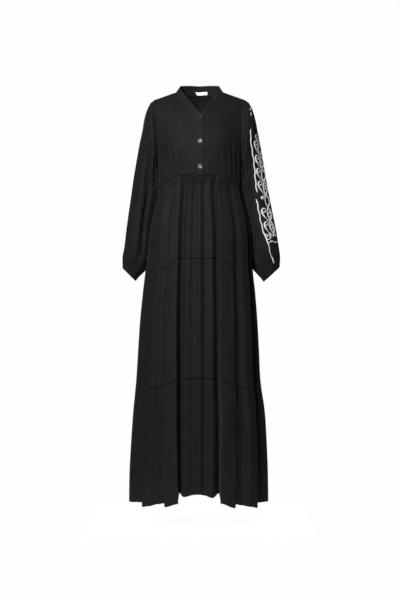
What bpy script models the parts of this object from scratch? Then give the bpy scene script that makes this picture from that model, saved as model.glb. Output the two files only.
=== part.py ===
"""Long tiered shirt dress, filled out as worn, with open neck, cuffs and hem.

Metres, +Z up, the front faces -Y. The origin is where the shoulders carry the dress:
on its middle plane, at the height of the shoulder seams. Names use the wearer's sides,
so right is at -X and left is at +X. Tables are in millimetres and degrees.
"""
import math

import bmesh
import bpy
from mathutils import Vector

MM = 0.001

CLOTH_WALL = 1.6 * MM
BAND_WALL = 1.8 * MM
LABEL_WALL = 0.6 * MM
SEAM_GAP = 0.3 * MM
LAY_GAP = 0.45 * MM
SLEEVE_CLEARANCE = 1.3 * MM
SHOULDER_FLAT = 4.0 * MM

BLACK_CREPE = (0.012, 0.012, 0.013, 1.0)
BUTTON_SHELL = (0.42, 0.42, 0.43, 1.0)
LABEL_WHITE = (0.85, 0.85, 0.84, 1.0)

# Body sections: height, half width to the wearer's right and left, depth to front and back.
BODY_COLUMNS = ("height", "right", "left", "front", "back")
BODY_SECTIONS = (
    (-1404.0, 246.5, 239.5, 168.0, 164.0),
    (-1302.0, 244.7, 238.0, 166.0, 163.0),
    (-1197.0, 239.0, 233.8, 162.0, 160.0),
    (-1092.0, 231.7, 227.2, 158.0, 157.0),
    (-987.0, 221.6, 212.5, 154.0, 154.0),
    (-882.0, 214.9, 207.2, 150.0, 151.0),
    (-777.0, 207.9, 201.6, 145.0, 146.0),
    (-672.0, 197.4, 193.2, 140.0, 142.0),
    (-609.0, 189.7, 186.2, 137.0, 138.0),
    (-532.0, 180.0, 183.1, 132.0, 132.0),
    (-462.0, 172.6, 178.5, 127.0, 123.0),
    (-392.0, 160.0, 162.8, 119.0, 112.0),
    (-345.0, 148.0, 150.0, 111.0, 102.0),
    (-312.0, 143.5, 144.0, 107.0, 98.0),
    (-245.0, 146.0, 146.0, 114.0, 98.0),
    (-205.0, 149.5, 149.5, 118.0, 99.0),
    (-165.0, 155.0, 155.0, 118.0, 99.0),
    (-110.0, 167.0, 167.0, 97.0, 91.0),
    (-70.0, 176.0, 176.0, 71.0, 75.0),
    (-40.0, 184.0, 184.0, 50.0, 54.0),
    (-20.0, 191.0, 191.0, 32.0, 33.0),
    (-12.0, 194.0, 194.0, 22.0, 22.0),
    (-7.0, 197.0, 197.0, 12.0, 12.0),
    (-5.0, 200.0, 200.0, 0.0, 0.0),
)

# Shoulder seam, from the neck point to the shoulder tip.
NECK_X = 82.0 * MM
NECK_Z = 20.0 * MM
TIP_X = 152.0 * MM
TIP_Z = -5.0 * MM
SHOULDER_FADE = 165.0 * MM
BACK_NECK_Z = 14.0 * MM
BACK_NECK_BEND = 1.7

# Soft rounding over the bust of a general figure.
BUST_X = 72.0 * MM
BUST_Z = -160.0 * MM
BUST_SPREAD = 48.0 * MM
BUST_FULLNESS = 5.0 * MM

# Armhole edge: height and half width.
ARMHOLE_COLUMNS = ("height", "half_width")
ARMHOLE = (
    (-245.0, 146.0),
    (-212.0, 144.8),
    (-175.0, 143.8),
    (-140.0, 143.5),
    (-105.0, 144.5),
    (-70.0, 147.0),
    (-42.0, 149.5),
    (-24.0, 151.0),
    (-5.0, 152.0),
)
UNDERARM_Z = -245.0 * MM

# Rings of the gathered seams and the hem: heights at centre front, side and centre back,
# the flat share of the front arch, and how far down the skirt each lies.
SEAM_COLUMNS = ("front", "side", "back", "flat", "depth")
SEAMS = (
    (-280.0, -316.0, -304.0, 0.45, 0.00),
    (-565.0, -656.0, -634.0, 0.38, 0.30),
    (-974.0, -1036.0, -1030.0, 0.15, 0.64),
    (-1400.0, -1403.0, -1402.0, 0.00, 1.00),
)
ARCH_BEND = 1.4

# Skirt folds: angle from the centre at the upper seam and at the hem, how far the cloth
# lies in at both, and how far the hem is drawn up there. Valleys lie in, ridges stay out.
FOLD_COLUMNS = ("top_angle", "hem_angle", "top_inset", "hem_inset", "hem_lift")
FRONT_FOLDS = (
    (-90.0, -90.0, 0.0, 0.0, 0.0),
    (-77.0, -77.0, 0.5, 1.0, 0.0),
    (-66.0, -65.0, 5.0, 13.0, 3.0),
    (-59.0, -56.0, 2.0, 13.0, 4.0),
    (-56.5, -53.5, 0.0, 0.0, -6.0),
    (-49.0, -45.0, 0.0, 0.0, -3.0),
    (-42.0, -38.0, 6.0, 17.0, 3.0),
    (-37.0, -30.8, 4.0, 10.0, 7.0),
    (-34.5, -28.8, 0.0, 0.0, -2.0),
    (-27.0, -17.8, 1.0, 1.0, 7.0),
    (-23.5, -17.0, 12.0, 50.0, 36.0),
    (-12.5, -10.6, 2.0, 22.0, 28.0),
    (-6.5, -4.5, 7.0, 31.0, 34.0),
    (0.5, 0.0, 1.5, 23.0, 36.0),
    (7.0, 4.0, 8.0, 32.0, 33.0),
    (13.0, 8.8, 2.5, 22.0, 27.0),
    (21.5, 16.8, 13.0, 52.0, 36.0),
    (25.0, 17.8, 2.0, 1.0, 9.0),
    (41.5, 30.0, 0.0, 0.0, -5.0),
    (43.5, 31.8, 5.0, 10.0, 4.0),
    (47.0, 38.0, 8.0, 18.0, 0.0),
    (57.0, 47.0, 0.0, 0.0, -4.0),
    (67.0, 56.0, 0.0, 0.0, -8.0),
    (69.5, 58.8, 3.0, 12.0, 3.0),
    (76.0, 71.0, 3.0, 10.0, 1.0),
    (82.0, 81.0, 0.5, 1.0, 0.0),
    (90.0, 90.0, 0.0, 0.0, 0.0),
)
BACK_FOLDS = (
    (-90.0, -90.0, 0.0, 0.0, 0.0),
    (-77.0, -77.0, 0.5, 1.0, 0.0),
    (-63.0, -64.0, 5.0, 15.0, 0.0),
    (-50.0, -49.0, 0.0, 0.0, 0.0),
    (-37.0, -35.0, 8.0, 26.0, 4.0),
    (-25.0, -24.0, 0.0, 1.0, 0.0),
    (-14.0, -13.0, 6.0, 17.0, 3.0),
    (-4.0, -3.0, 0.0, 2.0, 0.0),
    (8.0, 9.0, 7.0, 24.0, 4.0),
    (20.0, 20.0, 0.0, 0.0, 0.0),
    (33.0, 32.0, 6.0, 19.0, 2.0),
    (47.0, 46.0, 0.0, 1.0, 0.0),
    (62.0, 63.0, 6.0, 17.0, 0.0),
    (77.0, 78.0, 0.5, 1.0, 0.0),
    (90.0, 90.0, 0.0, 0.0, 0.0),
)
FOLD_GROWTH = 0.65
FOLD_START = 32.0 * MM
FRONT_STEPS = 3
BACK_STEPS = 2
TIER_ROWS = (0.0, 0.05, 0.17, 0.42, 0.72, 1.0)
GATHER_HEIGHT = 2.2 * MM
GATHER_REACH = 38.0 * MM
GATHER_START = 12.0 * MM
GATHER_PUFF = 2.0 * MM
TIER_GAP = 0.9 * MM

# Front bodice rows along the neck: the place of the neck edge, and the height where the
# row meets the armhole.
NECK_ROWS = (
    (82.0, 20.0, -5.0),
    (81.9, 17.5, -7.5),
    (81.6, 12.0, -13.0),
    (80.5, 2.0, -24.0),
    (74.0, -11.0, -42.0),
    (60.0, -20.5, -70.0),
)
# Front bodice rows along the opening: height there, and height at the armhole or side.
OPENING_ROWS = (
    (-24.0, -105.0),
    (-44.0, -140.0),
    (-66.0, -175.0),
    (-92.0, -212.0),
    (-135.0, -245.0),
    (-180.0, -268.0),
    (-230.0, -292.0),
    (-280.0, -316.0),
)
FRONT_BODICE_STEPS = 13

# Front opening: height, both edges of the upper band, both edges of the under band and
# the edge of the wearer's right front, which runs on under the upper band.
OPENING_COLUMNS = ("height", "over_outer", "over_free", "under_free", "under_outer", "right_front")
OPENING = (
    (-280.0, -10.5, 14.5, -9.0, 13.0, -9.6),
    (-95.0, -10.5, 14.5, -9.0, 13.0, -9.6),
    (-80.0, -13.0, 12.0, -7.0, 15.0, -9.6),
    (-66.0, -22.0, 3.0, 1.5, 22.0, -10.0),
    (-56.0, -30.0, -7.0, 8.0, 30.0, -16.0),
    (-40.0, -42.0, -19.0, 19.0, 42.0, -27.0),
    (-24.0, -52.0, -28.0, 29.0, 54.0, -38.0),
)
BAND_STEPS = 3
OVER_BAND_OUTSET = BAND_WALL + 2.0 * LAY_GAP

# Gathered creases of the bodice: upper and lower end, depth and half width.
CREASE_COLUMNS = ("top_x", "top_z", "low_x", "low_z", "depth", "width")
CREASES = (
    (-126.0, -165.0, -131.0, -303.0, 3.5, 7.0),
    (-112.0, -175.0, -116.0, -293.0, 3.0, 7.0),
    (-98.0, -150.0, -101.0, -283.0, 4.0, 8.0),
    (-72.0, -190.0, -74.0, -273.0, 2.5, 8.0),
    (70.0, -190.0, 72.0, -273.0, 2.5, 8.0),
    (95.0, -180.0, 97.0, -281.0, 3.0, 8.0),
    (112.0, -145.0, 118.0, -293.0, 4.0, 8.0),
    (128.0, -165.0, 131.0, -303.0, 3.5, 7.0),
)
CREASE_END = 30.0 * MM

BACK_ROWS = (0.0, 0.008, 0.027, 0.06, 0.12, 0.21, 0.33, 0.47, 0.62, 0.78, 0.9, 1.0)
BACK_COLUMN_PLACES = (0.0, 15.0, 30.0, 45.0, 58.0, 70.0, 82.0, 97.0, 112.0, 126.0, 138.0, 147.0, 152.0)

# Collar band, from its front end round to the centre back: foot, top edge and the lean
# of the top edge towards the neck.
COLLAR_COLUMNS = ("foot_x", "foot_z", "top_x", "top_z", "lean")
COLLAR_FRONT = (
    (30.5, -24.0, 37.0, -9.0, 16.0),
    (42.0, -23.2, 43.5, -3.0, 14.0),
    (54.0, -21.3, 50.0, 3.5, 12.0),
    (60.0, -20.5, 53.5, 8.0, 10.0),
    (67.0, -15.8, 58.0, 13.5, 7.0),
    (74.0, -11.0, 61.5, 18.5, 4.0),
    (80.5, 2.0, 65.5, 29.0, 1.5),
    (81.6, 12.0, 66.5, 36.0, 0.5),
    (81.9, 17.5, 67.0, 39.5, 0.0),
    (82.0, 20.0, 67.0, 42.0, 0.0),
)
COLLAR_BACK = (
    (82.0, 20.0, 66.5, 43.0, -0.5),
    (70.0, 18.6, 61.0, 44.5, -2.0),
    (58.0, 17.3, 51.5, 45.0, -4.0),
    (45.0, 16.2, 40.5, 44.8, -5.0),
    (30.0, 15.1, 27.5, 44.0, -6.0),
    (15.0, 14.3, 14.0, 43.3, -6.5),
    (0.0, 14.0, 0.0, 43.0, -7.0),
)
COLLAR_LIFT = 1.0 * MM
COLLAR_ROWS = (0.0, 0.5, 1.0)
LABEL_PLACES = (-1.1, -0.6, -0.1, 0.4, 0.9, 1.4, 1.9)
LABEL_ROWS = (0.06, 0.28, 0.5)

# Sleeve rings: outer edge of each sleeve, height there, inner edge and height there,
# half depth and how far behind the middle plane the ring lies.
SLEEVE_COLUMNS = ("outer_right", "outer_left", "outer_z", "inner_x", "inner_z", "half_depth", "behind")
SLEEVE_RINGS = (
    (172.0, 173.0, -18.0, 147.8, -250.0, 62.0, 2.0),
    (184.0, 185.0, -42.0, 147.0, -258.0, 66.0, 5.0),
    (194.0, 195.0, -75.0, 145.5, -268.0, 67.0, 9.0),
    (201.0, 203.0, -115.0, 143.5, -282.0, 66.0, 15.0),
    (210.0, 211.0, -165.0, 142.0, -300.0, 64.0, 22.0),
    (219.0, 220.0, -220.0, 138.0, -322.0, 63.0, 28.0),
    (229.0, 229.0, -280.0, 138.0, -350.0, 62.0, 33.0),
    (237.5, 239.0, -340.0, 145.0, -388.0, 62.0, 36.0),
    (247.0, 253.0, -400.0, 154.0, -430.0, 62.0, 38.0),
    (256.0, 267.0, -460.0, 161.0, -474.0, 62.0, 40.0),
    (264.5, 278.0, -517.0, 165.0, -522.0, 60.0, 40.0),
    (270.0, 282.0, -548.0, 171.0, -566.0, 55.0, 40.0),
    (270.5, 281.5, -567.0, 191.0, -601.0, 42.0, 40.0),
)
SLEEVE_AROUND = 24
SLEEVE_GATHER = 1.8 * MM
SLEEVE_GATHERED_RINGS = 3

# Long sleeve folds: angle round the sleeve at the shoulder and the cuff, depth, spread.
SLEEVE_FOLD_COLUMNS = ("top_angle", "cuff_angle", "depth", "spread")
SLEEVE_FOLDS = (
    (84.0, 104.0, 9.0, 16.0),
    (128.0, 142.0, 6.0, 14.0),
    (40.0, 48.0, 4.0, 14.0),
    (238.0, 256.0, 8.0, 18.0),
    (290.0, 312.0, 6.0, 16.0),
)

# Cuff mouths in the plane of the front view: outer and inner corner of each lower edge.
CUFF_COLUMNS = ("outer_x", "outer_z", "inner_x", "inner_z")
CUFF_MOUTHS = {
    -1: (269.5, -594.0, 227.0, -636.0),
    1: (280.0, -590.0, 227.0, -639.0),
}
CUFF_LENGTH = 12.0 * MM
# How far the cuff's back edge lies out and up from its mouth at the outer and inner corner.
CUFF_OUTER_RUN = (0.5 * MM, 12.0 * MM)
CUFF_INNER_RUN = (-8.0 * MM, 9.0 * MM)
CUFF_DEPTH_SHARE = 0.86
CUFF_BEHIND = 40.0 * MM
CUFF_GAP = 0.5 * MM
SEAM_STRAIGHT = 3.0 * MM

BUTTON_HEIGHTS = (-81.0 * MM, -165.0 * MM, -250.0 * MM)
BUTTON_X = 1.5 * MM
BUTTON_RADIUS = 7.5 * MM
BUTTON_THICKNESS = 2.6 * MM
BUTTON_DISH_RADIUS = 4.6 * MM
BUTTON_DISH_DEPTH = 0.9 * MM
BUTTON_EDGE = 0.7 * MM
BUTTON_SIDES = 16


def table(names, rows, scale=MM):
    """The rows as one list for each named column, each value times the scale."""
    return {name: [row[i] * scale for row in rows] for i, name in enumerate(names)}


def blend(a, b, share):
    return a + (b - a) * share


def ease(share):
    """A share of 0 to 1, eased at both ends."""
    share = min(max(share, 0.0), 1.0)
    return share * share * (3.0 - 2.0 * share)


def slope_at(xs, ys, i):
    """Slope of the smooth curve at one of its points, from both neighbours."""
    low = max(i - 1, 0)
    high = min(i + 1, len(xs) - 1)
    return (ys[high] - ys[low]) / (xs[high] - xs[low])


def curve_value(xs, ys, x):
    """Value of the smooth curve through the points, at x. The xs rise."""
    if x <= xs[0]:
        return ys[0]
    if x >= xs[-1]:
        return ys[-1]
    i = max(k for k in range(len(xs) - 1) if xs[k] <= x)
    span = xs[i + 1] - xs[i]
    t = (x - xs[i]) / span
    start = slope_at(xs, ys, i) * span
    end = slope_at(xs, ys, i + 1) * span
    t2 = t * t
    t3 = t2 * t
    return ((2 * t3 - 3 * t2 + 1) * ys[i] + (t3 - 2 * t2 + t) * start
            + (3 * t2 - 2 * t3) * ys[i + 1] + (t3 - t2) * end)


def line_value(xs, ys, x):
    """Value of the straight pieces through the points, at x. The xs rise."""
    if x <= xs[0]:
        return ys[0]
    for i in range(len(xs) - 1):
        if x <= xs[i + 1]:
            return blend(ys[i], ys[i + 1], (x - xs[i]) / (xs[i + 1] - xs[i]))
    return ys[-1]


BODY = table(BODY_COLUMNS, BODY_SECTIONS)
ARM = table(ARMHOLE_COLUMNS, ARMHOLE)
OPEN = table(OPENING_COLUMNS, OPENING)


def body_size(column, height):
    return curve_value(BODY["height"], BODY[column], height)


def side_column(x):
    return "left" if x > 0.0 else "right"


def body_point(angle, height, inset):
    """A point of the skirt: the angle is 0 at centre front and 180 degrees at centre back."""
    sine = math.sin(angle)
    cosine = math.cos(angle)
    width = body_size(side_column(sine), height)
    depth = body_size("front" if cosine > 0.0 else "back", height)
    normal = Vector((sine / width, -cosine / depth, 0.0)).normalized()
    return Vector((width * sine, -depth * cosine, height)) - normal * inset


def bodice_height(x, z):
    """The body height that gives the depth at x, z, once the shoulder slope is taken off."""
    rise = max(TIP_X - abs(x), 0.0) * (NECK_Z - TIP_Z) / (TIP_X - NECK_X)
    return z - rise * (1.0 - ease((TIP_Z - z) / SHOULDER_FADE))


def bodice_depth(x, z, part):
    """Depth of the bodice at x, z, on the front or the back."""
    height = bodice_height(x, z)
    width = body_size(side_column(x), height)
    share = max(1.0 - (x / width) ** 2, 0.0)
    depth = body_size(part, height) * math.sqrt(share)
    if part == "front":
        away = ((abs(x) - BUST_X) ** 2 + (z - BUST_Z) ** 2) / BUST_SPREAD ** 2
        depth += BUST_FULLNESS * math.exp(-away)
    return max(depth, SHOULDER_FLAT)


def crease_inset(x, z):
    """How far the gathered creases draw the front in at x, z."""
    inset = 0.0
    for row in CREASES:
        crease = dict(zip(CREASE_COLUMNS, row))
        share = (z / MM - crease["top_z"]) / (crease["low_z"] - crease["top_z"])
        middle = blend(crease["top_x"], crease["low_x"], share) * MM
        away = (x - middle) / (crease["width"] * MM)
        start = ease((crease["top_z"] * MM - z) / CREASE_END + 0.5)
        end = ease((z - crease["low_z"] * MM) / CREASE_END)
        inset += crease["depth"] * MM * math.exp(-away * away) * start * end
    return inset


def front_point(x, z, outset=0.0):
    """A point of the front bodice, moved out of the cloth by the outset."""
    depth = bodice_depth(x, z, "front")
    step = 1.0 * MM
    across = bodice_depth(x + step, z, "front") - bodice_depth(x - step, z, "front")
    down = bodice_depth(x, z + step, "front") - bodice_depth(x, z - step, "front")
    normal = Vector((-across / (2 * step), -1.0, -down / (2 * step))).normalized()
    if outset == 0.0:
        return Vector((x, -depth, z)), normal
    return Vector((x, -depth, z)) + normal * outset, normal


def seam_height(index, angle):
    """Height of a gathered seam, or of the hem as the last one, round the body."""
    seam = dict(zip(SEAM_COLUMNS, SEAMS[index]))
    sideways = abs(math.sin(angle))
    if math.cos(angle) < 0.0:
        return blend(seam["back"], seam["side"], sideways ** 2) * MM
    share = max(sideways - seam["flat"], 0.0) / (1.0 - seam["flat"])
    return blend(seam["front"], seam["side"], share ** ARCH_BEND) * MM


def make_material(name, colour, roughness):
    material = bpy.data.materials.new(name)
    material.use_nodes = True
    shader = material.node_tree.nodes["Principled BSDF"]
    shader.inputs["Base Color"].default_value = colour
    shader.inputs["Roughness"].default_value = roughness
    shader.inputs["Metallic"].default_value = 0.0
    return material


def add_object(name, bm, colour, roughness):
    mesh = bpy.data.meshes.new(name)
    bm.to_mesh(mesh)
    bm.free()
    mesh.shade_smooth()
    mesh.materials.append(make_material(name + "_finish", colour, roughness))
    piece = bpy.data.objects.new(name, mesh)
    bpy.context.scene.collection.objects.link(piece)
    return piece


def make_cloth(name, rows, inside, wall, colour=BLACK_CREPE, round_about=False, roughness=0.85):
    """One piece of cloth: a sheet through the rows of points, given its wall inwards."""
    bm = bmesh.new()
    grid = [[bm.verts.new(point) for point in row] for row in rows]
    count = len(grid[0])
    last = count if round_about else count - 1
    for upper, lower in zip(grid, grid[1:]):
        for i in range(last):
            j = (i + 1) % count
            bm.faces.new((upper[i], upper[j], lower[j], lower[i]))
    bm.normal_update()
    facing = sum(face.normal.dot(face.calc_center_median() - inside) for face in bm.faces)
    if facing < 0.0:
        bmesh.ops.reverse_faces(bm, faces=bm.faces)
    piece = add_object(name, bm, colour, roughness)
    solidify = piece.modifiers.new("wall", "SOLIDIFY")
    solidify.thickness = wall
    solidify.offset = -1.0
    solidify.use_even_offset = True
    solidify.use_quality_normals = True
    return piece


def fold_columns(folds, steps):
    """Each column of a skirt panel as a fold, and a share of the way to the next fold."""
    columns = [(i, k / steps) for i in range(len(folds) - 1) for k in range(steps)]
    columns.append((len(folds) - 2, 1.0))
    return columns


def fold_value(folds, name, place, growth):
    """A fold value between the upper seam and the hem."""
    row = dict(zip(FOLD_COLUMNS, folds[place]))
    return blend(row["top_" + name], row["hem_" + name], growth)


def tier_point(folds, centre, column, index, share):
    """A point of tier index, at a column and a share of the way down."""
    place, between = column
    down = blend(SEAMS[index][4], SEAMS[index + 1][4], share)
    angle = blend(fold_value(folds, "angle", place, down),
                  fold_value(folds, "angle", place + 1, down), between)
    angle = math.radians(angle)
    deep = down ** FOLD_GROWTH
    inset = blend(fold_value(folds, "inset", place, deep),
                  fold_value(folds, "inset", place + 1, deep), ease(between)) * MM
    lift = blend(folds[place][4], folds[place + 1][4], ease(between)) * MM
    if centre == "back":
        angle = math.pi - angle
    top = seam_height(index, angle) - TIER_GAP
    low = seam_height(index + 1, angle)
    if index == len(SEAMS) - 2:
        low += lift
    height = blend(top, low, share)
    below = seam_height(0, angle) - TIER_GAP - height
    inset *= 1.0 - math.exp(-below / FOLD_START)
    return angle, inset, height, top - height


def gather_height(number, below):
    """How far a column stands out below a seam: every second one is a gather's crest."""
    reach = math.exp(-below / GATHER_REACH)
    started = ease(below / GATHER_START)
    crest = GATHER_HEIGHT if number % 2 else 0.0
    return (crest + GATHER_PUFF * (1.0 - reach)) * reach * started


def make_tier(name, folds, centre, index, steps):
    """One gathered panel of the skirt, between two seams and the two side seams."""
    rows = []
    columns = fold_columns(folds, steps)
    for share in TIER_ROWS:
        row = []
        for number, column in enumerate(columns):
            angle, inset, height, below = tier_point(folds, centre, column, index, share)
            at_side = number in (0, len(columns) - 1)
            if 1 < number < len(columns) - 2:
                inset -= gather_height(number, below)
            point = body_point(angle, height, inset)
            if at_side:
                point.y = -SEAM_GAP if centre == "front" else SEAM_GAP
            row.append(point)
        rows.append(row)
    middle = Vector((0.0, 0.0, (rows[0][0].z + rows[-1][0].z) / 2.0))
    return make_cloth(name, rows, middle, CLOTH_WALL)


def make_skirt():
    for index, name in enumerate(("upper", "middle", "lower")):
        make_tier("tier_" + name + "_front", FRONT_FOLDS, "front", index, FRONT_STEPS)
        make_tier("tier_" + name + "_back", BACK_FOLDS, "back", index, BACK_STEPS)


def outer_edge(side, z):
    """Half width at the armhole, and at the side seam below it."""
    if z >= UNDERARM_Z:
        return line_value(ARM["height"], ARM["half_width"], z)
    return body_size(side_column(side), z)


def add_shoulder_edge(rows, facing):
    """A first row that runs the shoulders level to their seam. The neck keeps its edge."""
    edge = []
    for i, point in enumerate(rows[0]):
        if abs(point.y) > SHOULDER_FLAT * 1.01:
            edge.append(point)
            rows[0][i] = (point + rows[1][i]) / 2.0
        else:
            edge.append(Vector((point.x, SEAM_GAP * facing, point.z)))
    rows.insert(0, edge)


def front_rows(side):
    """Inner edge and outer height of each row of one front, as x, z, z."""
    rows = [(row[0] * MM * side, row[1] * MM, row[2] * MM) for row in NECK_ROWS]
    for row in OPENING_ROWS:
        height, outer = (value * MM for value in row)
        if side < 0:
            inner = line_value(OPEN["height"], OPEN["right_front"], height)
        else:
            inner = line_value(OPEN["height"], OPEN["under_outer"], height) + SEAM_GAP
        rows.append((inner, height, outer))
    return rows


def make_front(name, side):
    rows = []
    edges = front_rows(side)
    for number, (inner_x, inner_z, outer_z) in enumerate(edges):
        row = []
        outer_x = outer_edge(side, outer_z) * side
        settle = (number / (len(edges) - 1)) ** 3
        for k in range(FRONT_BODICE_STEPS + 1):
            share = math.sin(k / FRONT_BODICE_STEPS * math.pi / 2.0)
            x = blend(inner_x, outer_x, share)
            z = blend(inner_z, outer_z, share)
            seam = seam_height(0, math.asin(min(abs(x / outer_x), 1.0)))
            z += (seam - blend(edges[-1][1], edges[-1][2], share)) * settle
            at_side = k == FRONT_BODICE_STEPS and outer_z <= UNDERARM_Z
            point, normal = front_point(x, z)
            if at_side:
                point = Vector((outer_edge(side, z) * side, -SEAM_GAP, z))
            elif k > 0:
                point = point - normal * crease_inset(x, z)
            row.append(point)
        rows.append(row)
    add_shoulder_edge(rows, -1.0)
    make_cloth(name, rows, Vector((0.0, 0.0, -150.0 * MM)), CLOTH_WALL)


def back_top(x):
    """Upper edge of the back: the neck curve, then the shoulder seam."""
    if abs(x) <= NECK_X:
        return blend(BACK_NECK_Z, NECK_Z, (abs(x) / NECK_X) ** BACK_NECK_BEND)
    return blend(NECK_Z, TIP_Z, (abs(x) - NECK_X) / (TIP_X - NECK_X))


def make_back():
    places = [-place for place in BACK_COLUMN_PLACES[:0:-1]] + list(BACK_COLUMN_PLACES)
    rows = []
    for share in BACK_ROWS:
        row = []
        for place in places:
            across = place * MM / TIP_X
            side = 1 if place > 0 else -1
            edge_z = blend(TIP_Z, seam_height(0, math.pi / 2.0), share)
            edge_x = outer_edge(side, edge_z)
            x = across * edge_x
            low = seam_height(0, math.pi - math.asin(min(abs(across), 1.0)))
            z = blend(back_top(place * MM), low, share)
            y = bodice_depth(x, z, "back")
            if abs(place) == BACK_COLUMN_PLACES[-1] and edge_z <= UNDERARM_Z:
                y = SEAM_GAP
            row.append(Vector((x, y, z)))
        rows.append(row)
    add_shoulder_edge(rows, 1.0)
    make_cloth("bodice_back", rows, Vector((0.0, 0.0, -150.0 * MM)), CLOTH_WALL)


def make_band(name, first, second, outset):
    """One band of the front opening, between two of the opening's edge columns."""
    rows = []
    heights = [row[0] * MM for row in OPENING_ROWS]
    between = [(upper + lower) / 2.0 for upper, lower in zip(heights, heights[1:])]
    for height in sorted(heights + between, reverse=True):
        start = line_value(OPEN["height"], OPEN[first], height)
        end = line_value(OPEN["height"], OPEN[second], height)
        row = []
        for k in range(BAND_STEPS + 1):
            point, _ = front_point(blend(start, end, k / BAND_STEPS), height, outset)
            row.append(point)
        rows.append(row)
    make_cloth(name, rows, Vector((0.0, 0.0, -150.0 * MM)), BAND_WALL)


def make_bands():
    make_band("placket_under", "under_free", "under_outer", 0.0)
    make_band("placket_over", "over_outer", "over_free", OVER_BAND_OUTSET)


def collar_edges():
    """Foot and top edge of half the collar, from its front end to centre back."""
    edges = []
    for rows, part, facing in ((COLLAR_FRONT, "front", -1.0), (COLLAR_BACK, "back", 1.0)):
        for row in rows:
            station = dict(zip(COLLAR_COLUMNS, (value * MM for value in row)))
            y = bodice_depth(station["foot_x"], station["foot_z"], part) * facing
            foot = Vector((station["foot_x"], y, station["foot_z"]))
            top = Vector((station["top_x"], y + station["lean"], station["top_z"]))
            foot += (top - foot).normalized() * COLLAR_LIFT
            edges.append((foot, top))
    return edges


def collar_point(edges, place, up):
    """A point of the collar: place 0 is at centre back, and counts stations to each side."""
    position = len(edges) - 1 - abs(place)
    low = min(int(position), len(edges) - 2)
    share = position - low
    foot = edges[low][0].lerp(edges[low + 1][0], share)
    top = edges[low][1].lerp(edges[low + 1][1], share)
    point = foot.lerp(top, up)
    if place < 0:
        point.x = -point.x
    return point


def make_collar():
    edges = collar_edges()
    half = len(edges) - 1
    rows = [[collar_point(edges, place, up) for place in range(-half, half + 1)] for up in COLLAR_ROWS]
    make_cloth("collar_band", rows, Vector((0.0, 0.0, NECK_Z)), BAND_WALL)


def make_label():
    """The bare label on the inner side of the collar band, at centre back."""
    edges = collar_edges()
    rows = []
    for up in LABEL_ROWS:
        row = []
        for place in LABEL_PLACES:
            point = collar_point(edges, place, up)
            along = collar_point(edges, place + 0.5, up) - collar_point(edges, place - 0.5, up)
            rise = collar_point(edges, place, 1.0) - collar_point(edges, place, 0.0)
            normal = along.cross(rise).normalized()
            if normal.y > 0.0:
                normal = -normal
            row.append(point + normal * (BAND_WALL + 2.0 * LAY_GAP))
        rows.append(row)
    make_cloth("neck_label", rows, Vector((0.0, 0.0, NECK_Z)), LABEL_WALL, LABEL_WHITE, roughness=0.7)


def clear_of_body(point):
    """The point moved sideways where it would press into the body of the dress."""
    if point.z > UNDERARM_Z:
        return point
    side = 1.0 if point.x > 0.0 else -1.0
    depth = body_size("back" if point.y > 0.0 else "front", point.z)
    share = max(1.0 - (point.y / depth) ** 2, 0.0)
    limit = body_size(side_column(side), point.z) * math.sqrt(share) + SLEEVE_CLEARANCE
    if share > 0.0 and abs(point.x) < limit:
        point.x = side * limit
    return point


def sleeve_fold_inset(angle, down):
    """How far the long folds draw the sleeve in, round it and down it from 0 to 1."""
    inset = 0.0
    for row in SLEEVE_FOLDS:
        fold = dict(zip(SLEEVE_FOLD_COLUMNS, row))
        middle = blend(fold["top_angle"], fold["cuff_angle"], down)
        away = (math.degrees(angle) - middle) / fold["spread"]
        grown = ease(down * 4.0) * (1.0 - 0.5 * ease((down - 0.8) * 5.0))
        inset += fold["depth"] * MM * math.exp(-away * away) * grown
    return inset


def ring_angles():
    return [2.0 * math.pi * i / SLEEVE_AROUND for i in range(SLEEVE_AROUND)]


def armhole_ring(side, out):
    """The armhole's edge as a ring, moved out along X. Angle 0 is at the shoulder tip."""
    ring = []
    for angle in ring_angles():
        z = blend(TIP_Z, UNDERARM_Z, (1.0 - math.cos(angle)) / 2.0)
        half = line_value(ARM["height"], ARM["half_width"], z)
        if math.sin(angle) >= 0.0:
            y = -bodice_depth(half, z, "front")
        else:
            y = bodice_depth(half, z, "back")
        if abs(math.sin(angle)) < 1e-6:
            y = 0.0
        ring.append(Vector(((half + out) * side, y, z)))
    return ring


def oval_ring(outer, inner, half_depth, behind, gather):
    """A ring between two corners: angle 0 at the outer corner, 90 degrees at the front."""
    centre = (outer + inner) / 2.0
    reach = (outer - inner) / 2.0
    ring = []
    for number, angle in enumerate(ring_angles()):
        scale = 1.0 - gather / half_depth * (number % 2)
        offset = reach * math.cos(angle) * scale
        y = behind - half_depth * math.sin(angle) * scale
        ring.append(Vector((centre.x + offset.x, y, centre.z + offset.z)))
    return ring


def cuff_ring(side, back_off):
    """A ring of the cuff, back_off up from the mouth."""
    mouth = dict(zip(CUFF_COLUMNS, (value * MM for value in CUFF_MOUTHS[side])))
    share = back_off / CUFF_LENGTH
    corners = []
    for corner, run in (("outer", CUFF_OUTER_RUN), ("inner", CUFF_INNER_RUN)):
        x = mouth[corner + "_x"] + run[0] * share
        corners.append(Vector((x * side, 0.0, mouth[corner + "_z"] + run[1] * share)))
    outer, inner = corners
    half_depth = (outer - inner).length / 2.0 * CUFF_DEPTH_SHARE
    return oval_ring(outer, inner, half_depth, CUFF_BEHIND, SLEEVE_GATHER)


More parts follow.
